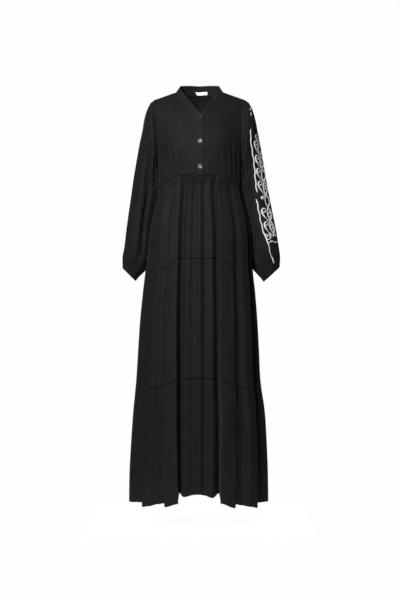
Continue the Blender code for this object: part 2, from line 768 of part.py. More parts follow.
def make_sleeve(name, side):
    rings = [armhole_ring(side, SEAM_GAP), armhole_ring(side, SEAM_GAP + SEAM_STRAIGHT)]
    count = len(SLEEVE_RINGS)
    for number, row in enumerate(SLEEVE_RINGS):
        part = dict(zip(SLEEVE_COLUMNS, (value * MM for value in row)))
        outer_x = part["outer_left"] if side > 0 else part["outer_right"]
        outer = Vector((outer_x * side, 0.0, part["outer_z"]))
        inner = Vector((part["inner_x"] * side, 0.0, part["inner_z"]))
        to_cuff = count - number
        gather = 0.0
        if to_cuff <= SLEEVE_GATHERED_RINGS:
            gather = SLEEVE_GATHER * (1.0 - (to_cuff - 1.0) / SLEEVE_GATHERED_RINGS)
        ring = oval_ring(outer, inner, part["half_depth"], part["behind"], gather)
        centre = sum(ring, Vector()) / len(ring)
        for place, angle in enumerate(ring_angles()):
            away = (ring[place] - centre).normalized()
            point = ring[place] - away * sleeve_fold_inset(angle, number / (count - 1))
            ring[place] = clear_of_body(point)
        rings.append(ring)
    for up in (SEAM_STRAIGHT, 0.0):
        rings.append(cuff_ring(side, CUFF_LENGTH + CUFF_GAP + up))
    middle = sum(rings[len(rings) // 2], Vector()) / SLEEVE_AROUND
    make_cloth(name, rings, middle, CLOTH_WALL, round_about=True)


def make_cuff(name, side):
    rings = [
        cuff_ring(side, CUFF_LENGTH),
        cuff_ring(side, CUFF_LENGTH - SEAM_STRAIGHT),
        cuff_ring(side, 0.0),
    ]
    middle = sum(rings[1], Vector()) / SLEEVE_AROUND
    make_cloth(name, rings, middle, CLOTH_WALL, round_about=True)


def make_sleeves():
    for name, side in (("right", -1), ("left", 1)):
        make_sleeve("sleeve_" + name, side)
        make_cuff("cuff_" + name, side)


def make_button(name, height):
    """A round button with a rounded edge and a dished middle, lying on the upper band."""
    profile = (
        (0.0, 0.0),
        (BUTTON_RADIUS - BUTTON_EDGE, 0.0),
        (BUTTON_RADIUS, BUTTON_EDGE),
        (BUTTON_RADIUS, BUTTON_THICKNESS - BUTTON_EDGE),
        (BUTTON_RADIUS - BUTTON_EDGE, BUTTON_THICKNESS),
        (BUTTON_DISH_RADIUS + BUTTON_EDGE, BUTTON_THICKNESS),
        (BUTTON_DISH_RADIUS, BUTTON_THICKNESS - BUTTON_DISH_DEPTH),
        (0.0, BUTTON_THICKNESS - BUTTON_DISH_DEPTH),
    )
    bm = bmesh.new()
    verts = [bm.verts.new((x, 0.0, z)) for x, z in profile]
    edges = [bm.edges.new(pair) for pair in zip(verts, verts[1:])]
    bmesh.ops.spin(bm, geom=verts + edges, cent=(0, 0, 0), axis=(0, 0, 1),
                   angle=2.0 * math.pi, steps=BUTTON_SIDES, use_merge=True)
    bmesh.ops.remove_doubles(bm, verts=bm.verts, dist=0.01 * MM)
    bmesh.ops.recalc_face_normals(bm, faces=bm.faces)
    foot, normal = front_point(BUTTON_X, height, OVER_BAND_OUTSET + LAY_GAP)
    turn = normal.to_track_quat("Z", "Y").to_matrix().to_4x4()
    bmesh.ops.transform(bm, matrix=turn, verts=bm.verts)
    bmesh.ops.translate(bm, vec=foot, verts=bm.verts)
    piece = add_object(name, bm, BUTTON_SHELL, 0.3)
    piece.data.set_sharp_from_angle(angle=math.radians(35.0))


def make_buttons():
    for number, height in enumerate(BUTTON_HEIGHTS, start=1):
        make_button("button_" + str(number), height)


def main():
    for old in list(bpy.data.objects):
        bpy.data.objects.remove(old)
    make_front("bodice_front_right", -1)
    make_front("bodice_front_left", 1)
    make_back()
    make_bands()
    make_collar()
    make_label()
    make_sleeves()
    make_skirt()
    make_buttons()


main()
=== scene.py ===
"""Looks of a long tiered shirt dress of black crepe, filled out as worn, with open neck, cuffs and hem.

Metres, +Z up, the front faces -Y. Names use the wearer's sides: right is at -X, left at +X.
Tables are in millimetres and degrees.
"""
import bisect
import math
import random

import bmesh
import bpy
from mathutils import Matrix, Vector


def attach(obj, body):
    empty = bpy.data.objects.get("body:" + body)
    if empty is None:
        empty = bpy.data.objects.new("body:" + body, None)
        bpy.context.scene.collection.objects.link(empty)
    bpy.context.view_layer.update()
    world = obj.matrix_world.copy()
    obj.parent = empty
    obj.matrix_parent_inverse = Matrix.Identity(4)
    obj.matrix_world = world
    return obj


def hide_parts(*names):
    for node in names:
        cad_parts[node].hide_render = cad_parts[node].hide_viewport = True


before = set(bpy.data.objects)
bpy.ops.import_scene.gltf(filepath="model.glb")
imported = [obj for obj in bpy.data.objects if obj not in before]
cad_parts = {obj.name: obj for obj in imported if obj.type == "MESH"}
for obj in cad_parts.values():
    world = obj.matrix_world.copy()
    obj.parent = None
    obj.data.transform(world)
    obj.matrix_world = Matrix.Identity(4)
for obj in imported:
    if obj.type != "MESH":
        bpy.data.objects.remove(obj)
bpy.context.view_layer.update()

MM = 0.001

# Thickness of each cloth, and of the solid band that the next layer lies on.
CLOTH_THICKNESS = 0.6 * MM
BAND_THICKNESS = 1.5 * MM
CUFF_THICKNESS = 1.2 * MM
LABEL_THICKNESS = 0.5 * MM
BAND_WALL = 1.8 * MM
BAND_EDGE = 0.45 * MM
BAND_RIPPLE = 0.25 * MM

# Gaps at the seams, between layers, and between the sleeves and the body.
SEAM_GAP = 0.3 * MM
LAY_GAP = 0.45 * MM
SLEEVE_CLEARANCE = 1.3 * MM

# Least depth of the bodice, at the shoulder seams.
SHOULDER_FLAT = 0.3 * MM
# Edges of a tube that lie nearer than this are joined.
WELD = 0.02 * MM

# Body sections: height, half width to the wearer's right and left, depth to front and back.
BODY_COLUMNS = ("height", "right", "left", "front", "back")
BODY_SECTIONS = (
    (-1404.0, 246.5, 239.5, 168.0, 164.0),
    (-1302.0, 244.7, 238.0, 166.0, 163.0),
    (-1197.0, 239.0, 233.8, 162.0, 160.0),
    (-1092.0, 231.7, 227.2, 158.0, 157.0),
    (-987.0, 221.6, 212.5, 154.0, 154.0),
    (-882.0, 214.9, 207.2, 150.0, 151.0),
    (-777.0, 207.9, 201.6, 145.0, 146.0),
    (-672.0, 197.4, 193.2, 140.0, 142.0),
    (-609.0, 189.7, 186.2, 137.0, 138.0),
    (-532.0, 180.0, 183.1, 132.0, 132.0),
    (-462.0, 172.6, 178.5, 127.0, 123.0),
    (-392.0, 160.0, 162.8, 119.0, 112.0),
    (-345.0, 148.0, 150.0, 111.0, 102.0),
    (-312.0, 143.5, 144.0, 107.0, 98.0),
    (-245.0, 146.0, 146.0, 114.0, 98.0),
    (-205.0, 149.5, 149.5, 118.0, 99.0),
    (-165.0, 155.0, 155.0, 118.0, 99.0),
    (-110.0, 167.0, 167.0, 97.0, 91.0),
    (-70.0, 176.0, 176.0, 71.0, 75.0),
    (-40.0, 184.0, 184.0, 50.0, 54.0),
    (-20.0, 191.0, 191.0, 32.0, 33.0),
    (-12.0, 194.0, 194.0, 22.0, 22.0),
    (-7.0, 197.0, 197.0, 12.0, 12.0),
    (-5.0, 200.0, 200.0, 0.0, 0.0),
)

# Shoulder seam, from the neck point to the shoulder tip.
NECK_X = 82.0 * MM
NECK_Z = 20.0 * MM
TIP_X = 152.0 * MM
TIP_Z = -5.0 * MM
SHOULDER_FADE = 165.0 * MM
BACK_NECK_Z = 14.0 * MM
BACK_NECK_BEND = 1.7

# Soft rounding over the bust of a general figure.
BUST_X = 72.0 * MM
BUST_Z = -160.0 * MM
BUST_SPREAD = 48.0 * MM
BUST_FULLNESS = 5.0 * MM

# Armhole edge: height and half width.
ARMHOLE_COLUMNS = ("height", "half_width")
ARMHOLE = (
    (-245.0, 146.0),
    (-212.0, 144.8),
    (-175.0, 143.8),
    (-140.0, 143.5),
    (-105.0, 144.5),
    (-70.0, 147.0),
    (-42.0, 149.5),
    (-24.0, 151.0),
    (-5.0, 152.0),
)
UNDERARM_Z = -245.0 * MM

# Rings of the gathered seams and the hem: heights at centre front, side and centre back,
# the flat share of the front arch, and how far down the skirt each lies.
SEAMS = (
    (-280.0, -316.0, -304.0, 0.45, 0.00),
    (-565.0, -656.0, -634.0, 0.38, 0.30),
    (-974.0, -1036.0, -1030.0, 0.15, 0.64),
    (-1400.0, -1403.0, -1402.0, 0.00, 1.00),
)
ARCH_BEND = 1.4

# Skirt folds: angle from the centre at the upper seam and at the hem, how far the cloth
# lies in at both, and how far the hem is drawn up there. Valleys lie in, ridges stay out.
FRONT_FOLDS = (
    (-90.0, -90.0, 0.0, 0.0, 0.0),
    (-77.0, -77.0, 0.5, 1.0, 0.0),
    (-66.0, -65.0, 5.0, 14.0, 3.0),
    (-59.0, -56.0, 2.0, 16.0, 4.5),
    (-56.5, -52.8, 0.0, 0.0, -8.0),
    (-49.0, -45.0, 0.0, 0.0, -3.0),
    (-42.0, -38.0, 7.0, 20.0, 3.0),
    (-37.0, -30.6, 5.0, 12.0, 8.0),
    (-34.5, -28.6, 0.0, 0.0, -2.5),
    (-27.0, -16.9, 0.5, 0.0, 9.5),
    (-24.0, -19.6, 12.0, 52.0, 39.0),
    (-13.5, -13.4, 2.0, 23.0, 30.0),
    (-6.5, -4.5, 8.0, 34.0, 36.0),
    (0.5, 0.0, 1.0, 23.0, 38.0),
    (7.0, 4.0, 9.0, 35.0, 34.0),
    (14.5, 11.0, 2.0, 22.0, 27.0),
    (22.0, 19.5, 13.0, 54.0, 38.0),
    (25.0, 17.0, 1.5, 0.0, 11.0),
    (41.5, 30.0, 0.0, 0.0, -6.0),
    (43.5, 32.2, 4.0, 9.0, 5.0),
    (48.0, 38.0, 6.0, 16.0, 0.0),
    (57.0, 47.0, 0.0, 0.0, -6.0),
    (67.0, 55.6, 0.0, 0.0, -12.0),
    (69.5, 59.2, 3.0, 15.0, 3.0),
    (76.0, 71.0, 3.0, 11.0, 1.0),
    (82.0, 81.0, 0.5, 1.0, 0.0),
    (90.0, 90.0, 0.0, 0.0, 0.0),
)
BACK_FOLDS = (
    (-90.0, -90.0, 0.0, 0.0, 0.0),
    (-77.0, -77.0, 0.5, 1.0, 0.0),
    (-63.0, -64.0, 5.0, 15.0, 0.0),
    (-50.0, -49.0, 0.0, 0.0, 0.0),
    (-37.0, -35.0, 8.0, 26.0, 4.0),
    (-25.0, -24.0, 0.0, 1.0, 0.0),
    (-14.0, -13.0, 6.0, 17.0, 3.0),
    (-4.0, -3.0, 0.0, 2.0, 0.0),
    (8.0, 9.0, 7.0, 24.0, 4.0),
    (20.0, 20.0, 0.0, 0.0, 0.0),
    (33.0, 32.0, 6.0, 19.0, 2.0),
    (47.0, 46.0, 0.0, 1.0, 0.0),
    (62.0, 63.0, 6.0, 17.0, 0.0),
    (77.0, 78.0, 0.5, 1.0, 0.0),
    (90.0, 90.0, 0.0, 0.0, 0.0),
)
FOLD_GROWTH = 0.65
FOLD_START = 18.0 * MM
TIER_GAP = 0.4 * MM

# Front bodice rows along the neck: the place of the neck edge, and the height where the
# row meets the armhole.
NECK_ROWS = (
    (82.0, 20.0, -5.0),
    (81.9, 17.5, -7.5),
    (81.6, 12.0, -13.0),
    (80.5, 2.0, -24.0),
    (74.0, -11.0, -42.0),
    (60.0, -20.5, -70.0),
)
# Front bodice rows along the opening: height there, and height at the armhole or side.
OPENING_ROWS = (
    (-24.0, -105.0),
    (-44.0, -140.0),
    (-66.0, -175.0),
    (-92.0, -212.0),
    (-135.0, -245.0),
    (-180.0, -268.0),
    (-230.0, -292.0),
    (-280.0, -316.0),
)

# Front opening: height, both edges of the upper band, both edges of the under band and
# the edge of the wearer's right front, which runs on under the upper band.
OPENING_COLUMNS = ("height", "over_outer", "over_free", "under_free", "under_outer", "right_front")
OPENING = (
    (-280.0, -10.5, 14.5, -9.0, 13.0, -9.6),
    (-95.0, -10.5, 14.5, -9.0, 13.0, -9.6),
    (-80.0, -13.0, 12.0, -7.0, 15.0, -9.6),
    (-66.0, -22.0, 3.0, 1.5, 22.0, -10.0),
    (-56.0, -30.0, -7.0, 8.0, 30.0, -16.0),
    (-40.0, -42.0, -19.0, 19.0, 42.0, -27.0),
    (-24.0, -52.0, -28.0, 29.0, 54.0, -38.0),
)
OVER_BAND_OUTSET = BAND_WALL + 2.0 * LAY_GAP

# Collar band, from its front end round to the centre back: place and height of its foot and
# of its top edge, and the lean of the top edge towards the neck.
COLLAR_FRONT = (
    (30.5, -24.0, 37.0, -9.0, 16.0),
    (42.0, -23.2, 43.5, -3.0, 14.0),
    (54.0, -21.3, 50.0, 3.5, 12.0),
    (60.0, -20.5, 53.5, 8.0, 10.0),
    (67.0, -15.8, 58.0, 13.5, 7.0),
    (74.0, -11.0, 61.5, 18.5, 4.0),
    (80.5, 2.0, 65.5, 29.0, 1.5),
    (81.6, 12.0, 66.5, 36.0, 0.5),
    (81.9, 17.5, 67.0, 39.5, 0.0),
    (82.0, 20.0, 67.0, 42.0, 0.0),
)
COLLAR_BACK = (
    (82.0, 20.0, 66.5, 43.0, -0.5),
    (70.0, 18.6, 61.0, 45.0, -2.0),
    (58.0, 17.3, 51.5, 46.4, -4.0),
    (45.0, 16.2, 40.5, 47.6, -5.0),
    (30.0, 15.1, 27.5, 48.3, -6.0),
    (15.0, 14.3, 14.0, 48.6, -6.5),
    (0.0, 14.0, 0.0, 48.7, -7.0),
)
COLLAR_LIFT = 1.0 * MM
COLLAR_ROWS = 11
# The collar's foot is tucked down and in behind the edge of the neck.
COLLAR_TUCK_DOWN = 4.0 * MM
COLLAR_TUCK_IN = 1.0 * MM

# The label on the collar: its middle and width in stations of the collar, the share up the
# collar of both edges, the slant of its left end, and how far its middle stands off.
LABEL_MIDDLE = 0.4
LABEL_STATIONS = 3.0
LABEL_TOP = 0.37
LABEL_LOW = 0.06
LABEL_SLANT = 0.42
LABEL_BUCKLE = 0.5 * MM

# Sleeve rings: outer edge of each sleeve, height there, inner edge and height there,
# half depth and how far behind the middle plane the ring lies.
SLEEVE_COLUMNS = ("outer_right", "outer_left", "outer_z", "inner_x", "inner_z", "half_depth", "behind")
SLEEVE_RINGS = (
    (172.0, 173.0, -18.0, 147.8, -250.0, 62.0, 2.0),
    (184.0, 185.0, -42.0, 147.0, -258.0, 66.0, 5.0),
    (194.0, 195.0, -75.0, 145.5, -268.0, 67.0, 9.0),
    (201.0, 203.0, -115.0, 143.5, -282.0, 66.0, 15.0),
    (212.0, 213.0, -165.0, 142.0, -300.0, 64.0, 22.0),
    (222.0, 223.0, -220.0, 138.0, -322.0, 63.0, 28.0),
    (232.5, 233.5, -280.0, 138.0, -350.0, 62.0, 33.0),
    (241.0, 245.0, -340.0, 145.0, -388.0, 62.0, 36.0),
    (250.0, 257.0, -400.0, 154.0, -430.0, 62.0, 38.0),
    (258.0, 269.0, -460.0, 161.0, -474.0, 62.0, 40.0),
    (264.5, 278.0, -517.0, 165.0, -522.0, 60.0, 40.0),
    (270.0, 282.0, -548.0, 171.0, -566.0, 55.0, 40.0),
    (270.5, 281.5, -567.0, 191.0, -601.0, 42.0, 40.0),
)

# Long sleeve folds: angle round the sleeve at the shoulder and the cuff, depth, spread.
SLEEVE_FOLDS = (
    (84.0, 104.0, 9.0, 16.0),
    (128.0, 142.0, 6.0, 14.0),
    (40.0, 48.0, 4.0, 14.0),
    (238.0, 256.0, 8.0, 18.0),
    (290.0, 312.0, 6.0, 16.0),
)

# Cuff mouths in the plane of the front view: place and height of the outer and of the inner
# corner of each lower edge, for the right sleeve, -1, and the left, 1.
CUFF_MOUTHS = {
    -1: (269.5, -594.0, 227.0, -636.0),
    1: (280.0, -590.0, 227.0, -639.0),
}
CUFF_LENGTH = 12.0 * MM
# How far the cuff's back edge lies out and up from its mouth at the outer and inner corner.
CUFF_OUTER_RUN = (0.5, 12.0)
CUFF_INNER_RUN = (-8.0, 9.0)
CUFF_DEPTH_SHARE = 0.86
CUFF_BEHIND = 40.0 * MM
# The elastic channel round the middle of the cuff.
CUFF_CHANNEL = 0.5 * MM
CUFF_CHANNEL_MIDDLE = 0.45

SLEEVE_LENGTH = 620.0 * MM
# The sleeve's edge tucks into the armhole, and the sleeve leaves it straight out at first.
ARMHOLE_TUCK = 2.5 * MM
SEAM_STRAIGHT = 3.0 * MM
# The underarm lies against the body down to this height, and lets go over this length. It is
# the part of each ring where the cosine of the angle is below minus SNUG_ARC.
SNUG_LOW = -340.0 * MM
SNUG_FADE = 50.0 * MM
SNUG_ARC = 0.8

BUTTON_HEIGHTS = (-81.0 * MM, -165.0 * MM, -250.0 * MM)
BUTTON_X = 1.5 * MM
# Half the section of a button, from the middle of its back round the rim to its face.
BUTTON_PROFILE = (
    (0.0, 0.0), (6.6, 0.0), (7.3, 0.5), (7.5, 1.2), (7.3, 2.0), (6.7, 2.5), (6.0, 2.6),
    (5.2, 2.4), (4.5, 1.7), (3.7, 1.3), (0.0, 1.2),
)
HOLE_OFFSET = 1.4 * MM
HOLE_RADIUS = 0.85 * MM
# The bars of thread on a button: place, height over its back, and a bead's stretched shape.
THREAD_BAR_OFFSET = 1.12 * MM
THREAD_BAR_HEIGHT = 1.3 * MM
THREAD_BAR_SHAPE = (1.1, 0.7, 2.4, 1.0)

BUTTONHOLE_STITCHES = 44
BUTTONHOLE_HALF_LENGTH = 8.6 * MM
BUTTONHOLE_HALF_WIDTH = 1.5 * MM

# Gathers: height as a share of their width, and the fullness of each seam. At the seam only
# a share of the height stands, and all of it from PUFF_START on. The last two are how far the
# shortest and the longest run.
PUFF_RISE = 0.5
SEAM_FULLNESS = (0.9, 0.4, 0.75)
PUFF_AT_SEAM = 0.35
PUFF_START = 9.0 * MM
PUFF_SHORT = 16.0 * MM
PUFF_LONG = 78.0 * MM
# Shares of the gathers that show above a seam of the skirt, above that of the bodice, and on
# a cuff.
PUFF_ABOVE = 0.35
PUFF_BODICE = 0.4
PUFF_CUFF = 0.7
# Least and most width of a gather: degrees on the skirt and cuffs, millimetres on the bodice.
SKIRT_SPACING = (1.9, 4.6)
BODICE_SPACING = (5.0, 11.0)
CUFF_SPACING = (5.0, 10.0)
# Height of a cuff's gathers, and how much further they run than those of a seam.
CUFF_PUFF = 3.6 * MM
CUFF_PUFF_REACH = 1.3
# Length of one degree round the skirt at shoulder height, and its growth with the depth.
DEGREE_LENGTH = 1.95 * MM
DEGREE_GROWTH = 0.0009

# How far a panel's upper edge and its sides are tucked under the neighbouring panel.
TUCK_UP = 4.0 * MM
TUCK_IN = 1.1 * MM
TUCK_SIDE = 3.0 * MM

# Grid of a tier: columns in each fold, rows, and how much closer the rows lie at the seam.
FRONT_TIER_COLUMNS = 12
BACK_TIER_COLUMNS = 20
TIER_ROWS = 58
TIER_ROW_BEND = 1.55
# Grids of the bodice, across and down, and how much closer the rows lie at the neck.
FRONT_GRID = (84, 92)
FRONT_ROW_BEND = 1.35
BACK_GRID = (168, 92)
BACK_ROW_BEND = 1.6
BAND_GRID = (10, 70)
LABEL_GRID = (36, 14)

# Creases, given one by one: place and height of both ends, depth (less than 0 stands out) and
# the half width on either side. Places are millimetres on the bodice, degrees elsewhere.
FRONT_CREASES = (
    (-126.0, -165.0, -131.0, -303.0, 5.0, 5.0, 6.0),
    (-112.0, -175.0, -116.0, -293.0, 4.2, 4.0, 6.0),
    (-98.0, -150.0, -101.0, -283.0, 5.0, 5.0, 6.0),
    (-72.0, -190.0, -74.0, -273.0, 2.5, 8.0, 8.0),
    (70.0, -190.0, 72.0, -273.0, 2.5, 8.0, 8.0),
    (95.0, -180.0, 97.0, -281.0, 3.0, 8.0, 8.0),
    (112.0, -145.0, 118.0, -293.0, 5.0, 6.0, 5.0),
    (128.0, -165.0, 131.0, -303.0, 4.6, 6.0, 5.0),
    (16.0, -78.0, 16.4, -264.0, 2.4, 2.4, 3.4),
    (-118.0, -60.0, -104.0, -170.0, 1.6, 9.0, 16.0),
    (-134.0, -40.0, -124.0, -150.0, 2.0, 8.0, 12.0),
    (122.0, -55.0, 110.0, -165.0, 1.8, 15.0, 8.0),
    (137.0, -35.0, 127.0, -150.0, 1.8, 11.0, 7.0),
    (-86.0, -215.0, -88.0, -280.0, 1.2, 4.0, 5.0),
    (-60.0, -225.0, -61.0, -272.0, 1.1, 4.0, 5.0),
    (-46.0, -232.0, -46.5, -272.0, 1.3, 4.0, 4.0),
    (-30.0, -238.0, -30.0, -272.0, 0.9, 4.0, 4.0),
    (34.0, -236.0, 34.5, -272.0, 1.0, 4.0, 4.0),
    (48.0, -228.0, 49.0, -272.0, 1.2, 4.0, 5.0),
    (60.0, -222.0, 61.0, -274.0, 1.1, 5.0, 4.0),
    (84.0, -218.0, 86.0, -279.0, 1.3, 5.0, 4.0),
    (-52.0, -40.0, -34.0, -110.0, 1.4, 7.0, 10.0),
    (56.0, -44.0, 38.0, -112.0, 1.2, 10.0, 7.0),
)
BACK_CREASES = (
    (-128.0, -150.0, -130.0, -300.0, 3.2, 7.0, 8.0),
    (-108.0, -180.0, -111.0, -300.0, 2.6, 8.0, 7.0),
    (-88.0, -140.0, -90.0, -298.0, 3.0, 9.0, 8.0),
    (-62.0, -200.0, -63.0, -300.0, 2.2, 7.0, 8.0),
    (-38.0, -215.0, -38.0, -300.0, 1.8, 6.0, 7.0),
    (-14.0, -190.0, -13.0, -300.0, 2.4, 8.0, 7.0),
    (12.0, -222.0, 12.0, -300.0, 1.6, 6.0, 6.0),
    (36.0, -178.0, 37.0, -300.0, 2.6, 8.0, 8.0),
    (61.0, -210.0, 62.0, -300.0, 2.0, 6.0, 8.0),
    (90.0, -155.0, 92.0, -298.0, 3.2, 8.0, 9.0),
    (112.0, -185.0, 114.0, -300.0, 2.4, 7.0, 8.0),
    (129.0, -160.0, 131.0, -300.0, 3.4, 8.0, 7.0),
    (-120.0, -50.0, -100.0, -160.0, 2.0, 9.0, 16.0),
    (122.0, -46.0, 104.0, -165.0, 1.8, 16.0, 9.0),
    (-40.0, -14.0, -30.0, -90.0, 1.0, 8.0, 12.0),
    (44.0, -16.0, 32.0, -96.0, 1.0, 12.0, 8.0),
)
FRONT_SKIRT_CREASES = (
    (2.0, -300.0, 3.4, -660.0, 1.6, 0.8, 1.4),
    (-4.6, -800.0, -1.8, -870.0, 1.4, 1.0, 1.6),
    (30.0, -1040.0, 36.0, -1150.0, 2.2, 1.2, 2.4),
    (-70.0, -1060.0, -72.0, -1165.0, 2.4, 1.6, 2.6),
    (-46.0, -300.0, -47.0, -430.0, 1.8, 1.4, 2.0),
    (-35.0, -300.0, -34.5, -400.0, 1.6, 1.2, 1.6),
    (-17.5, -285.0, -17.0, -420.0, 2.0, 1.2, 1.8),
    (10.5, -285.0, 10.0, -370.0, 1.4, 1.0, 1.2),
    (17.0, -285.0, 17.5, -450.0, 1.8, 1.2, 1.6),
    (31.0, -290.0, 31.0, -410.0, 1.6, 1.4, 1.4),
    (41.0, -300.0, 42.0, -450.0, 2.0, 1.6, 1.6),
    (62.5, -330.0, 63.0, -480.0, 2.0, 2.0, 1.8),
    (-70.0, -330.0, -71.0, -500.0, 2.0, 2.0, 1.8),
    (-33.0, -610.0, -32.0, -800.0, 2.0, 1.4, 2.2),
    (-44.5, -640.0, -45.0, -900.0, 2.2, 1.6, 2.4),
    (32.0, -600.0, 31.0, -780.0, 1.8, 1.4, 2.0),
    (39.0, -620.0, 39.0, -860.0, 1.8, 1.4, 1.8),
    (-74.0, -680.0, -75.0, -900.0, 2.2, 2.4, 1.8),
    (74.0, -690.0, 74.5, -910.0, 2.2, 1.8, 2.4),
    (-60.0, -1060.0, -60.5, -1330.0, 3.0, 1.4, 2.0),
    (-34.0, -1020.0, -32.0, -1280.0, 3.0, 1.6, 2.0),
    (-29.0, -1010.0, -28.0, -1150.0, 2.0, 1.2, 1.6),
    (33.0, -1010.0, 32.5, -1240.0, 2.6, 1.8, 1.6),
    (45.0, -1030.0, 45.5, -1320.0, 3.0, 1.6, 2.0),
    (60.0, -1050.0, 60.0, -1300.0, 2.6, 1.8, 1.6),
    (-82.0, -1080.0, -82.5, -1330.0, 3.0, 2.0, 2.4),
    (83.0, -1080.0, 83.0, -1340.0, 3.0, 2.4, 2.0),
)
BACK_SKIRT_CREASES = (
    (-44.0, -330.0, -45.0, -520.0, 2.2, 1.6, 2.0),
    (-31.0, -320.0, -30.0, -450.0, 1.8, 1.4, 1.6),
    (-20.0, -320.0, -19.0, -560.0, 2.4, 1.6, 2.0),
    (-9.0, -320.0, -9.0, -430.0, 1.6, 1.2, 1.4),
    (2.0, -320.0, 3.0, -500.0, 2.0, 1.4, 1.8),
    (14.5, -320.0, 14.0, -600.0, 2.4, 1.8, 1.6),
    (27.0, -320.0, 27.0, -440.0, 1.8, 1.4, 1.6),
    (40.0, -330.0, 41.0, -540.0, 2.2, 1.8, 1.8),
    (55.0, -335.0, 55.0, -480.0, 1.8, 1.8, 1.6),
    (70.0, -340.0, 70.0, -560.0, 2.0, 2.0, 2.0),
    (-71.0, -340.0, -71.0, -540.0, 2.0, 2.0, 2.0),
    (-57.0, -660.0, -56.0, -960.0, 3.0, 1.4, 2.2),
    (-43.0, -660.0, -42.0, -840.0, 2.2, 1.8, 1.6),
    (-29.0, -650.0, -28.5, -900.0, 2.6, 1.4, 2.0),
    (-8.0, -650.0, -8.0, -820.0, 2.0, 1.4, 1.6),
    (3.0, -650.0, 3.5, -940.0, 2.6, 1.8, 1.6),
    (16.0, -650.0, 15.5, -800.0, 1.8, 1.4, 1.4),
    (26.0, -650.0, 26.0, -960.0, 2.6, 1.6, 2.0),
    (40.0, -655.0, 40.0, -830.0, 2.0, 1.6, 1.8),
    (55.0, -660.0, 54.0, -960.0, 2.8, 2.2, 1.4),
    (72.0, -670.0, 72.0, -880.0, 2.2, 2.0, 2.2),
    (-60.0, -1050.0, -60.0, -1300.0, 3.0, 1.6, 2.0),
    (-44.0, -1050.0, -43.0, -1200.0, 2.4, 1.6, 1.8),
    (-29.0, -1045.0, -29.0, -1330.0, 3.2, 1.6, 2.2),
    (-19.0, -1045.0, -18.0, -1180.0, 2.2, 1.4, 1.6),
    (-8.0, -1040.0, -7.5, -1290.0, 2.8, 1.6, 1.8),
    (4.0, -1040.0, 4.0, -1160.0, 2.0, 1.4, 1.4),
    (15.0, -1040.0, 15.0, -1320.0, 3.0, 1.8, 1.8),
    (26.0, -1045.0, 26.0, -1230.0, 2.4, 1.6, 1.6),
    (40.0, -1050.0, 39.0, -1330.0, 3.0, 2.0, 1.6),
    (54.0, -1050.0, 54.0, -1200.0, 2.2, 1.6, 1.8),
    (71.0, -1060.0, 71.0, -1310.0, 2.8, 2.0, 2.2),
)

# A crease counts out to this many half widths. It deepens at its top and fades at its low
# end at these rates, and a little of it is left there.
CREASE_REACH = 2.6
CREASE_TOP_RATE = 3.5
CREASE_LOW_RATE = 5.0
CREASE_LEFT = 0.15

# A gathered seam draws the cloth in, below it and a little less above it.
PINCH_DEPTH = 0.3 * MM
PINCH_UPPER_DEPTH = PINCH_DEPTH * 0.6
PINCH_REACH = 3.0 * MM

# Degrees over which creases and gathers fade towards the side seams of the skirt.
CREASE_FADE = 4.0
PUFF_FADE = 24.0
# The gathers of the front keep clear of the bands, and grow over this width beside them.
BAND_CLEAR = 22.0 * MM
BAND_FADE = 10.0 * MM

# Creases of the sleeves, by the angle round them, 90 in front, 0 on the outer edge, and
# how many hundredths of the way down to the cuff. The first are those of one sleeve only.
OWN_CREASES = {
    -1: (
        (85.0, 16.0, 86.0, 52.0, 7.0, 5.0, 7.0),
        (92.0, 40.0, 107.0, 95.0, 17.0, 5.0, 7.0),
        (66.0, 60.0, 74.0, 98.0, 4.0, 5.0, 7.0),
        (132.0, 2.0, 128.0, 46.0, 11.0, 6.0, 8.0),
    ),
    1: (
        (138.0, 2.0, 134.0, 44.0, 11.0, 7.0, 8.0),
        (104.0, 8.0, 108.0, 40.0, 4.0, 5.0, 7.0),
        (112.0, 46.0, 120.0, 96.0, 11.0, 5.0, 8.0),
        (78.0, 58.0, 90.0, 98.0, 3.0, 5.0, 6.0),
    ),
}
SLEEVE_CREASES = (
    (60.0, 2.0, 66.0, 44.0, 3.0, 5.0, 9.0),
    (20.0, 8.0, 30.0, 52.0, 2.4, 7.0, 9.0),
    (56.0, 62.0, 64.0, 100.0, 3.4, 5.0, 7.0),
    (34.0, 74.0, 38.0, 100.0, 3.0, 5.0, 6.0),
    (92.0, 78.0, 92.0, 100.0, 3.0, 4.0, 5.0),
    (14.0, 82.0, 16.0, 100.0, 2.6, 5.0, 5.0),
    (150.0, 50.0, 156.0, 100.0, 4.0, 8.0, 8.0),
    (-20.0, 12.0, -30.0, 60.0, 3.0, 8.0, 7.0),
    (-52.0, 4.0, -60.0, 66.0, 3.6, 8.0, 6.0),
    (-92.0, 8.0, -96.0, 58.0, 3.4, 8.0, 7.0),
    (-128.0, 20.0, -126.0, 90.0, 4.0, 8.0, 8.0),
    (-18.0, 76.0, -20.0, 100.0, 3.0, 5.0, 6.0),
    (-44.0, 70.0, -46.0, 100.0, 3.4, 6.0, 5.0),
    (-76.0, 60.0, -80.0, 100.0, 3.8, 7.0, 6.0),
    (-110.0, 78.0, -108.0, 100.0, 3.2, 5.0, 5.0),
    (-150.0, 64.0, -150.0, 100.0, 3.6, 7.0, 7.0),
)
SLEEVE_COLUMNS_ROUND = 156
SLEEVE_ROWS = 136
CUFF_ROWS = 12

# The two halves of the skirt: folds, creases, grid columns in each fold, the seeds that vary
# how the gathers fall, and the flat size of each tier in metres.
SKIRT_HALVES = (
    ("front", FRONT_FOLDS, FRONT_SKIRT_CREASES, FRONT_TIER_COLUMNS,
     (11, 23, 37), ((0.50, 0.34), (0.60, 0.44), (0.76, 0.43))),
    ("back", BACK_FOLDS, BACK_SKIRT_CREASES, BACK_TIER_COLUMNS,
     (41, 53, 67), ((0.50, 0.35), (0.58, 0.41), (0.72, 0.39))),
)
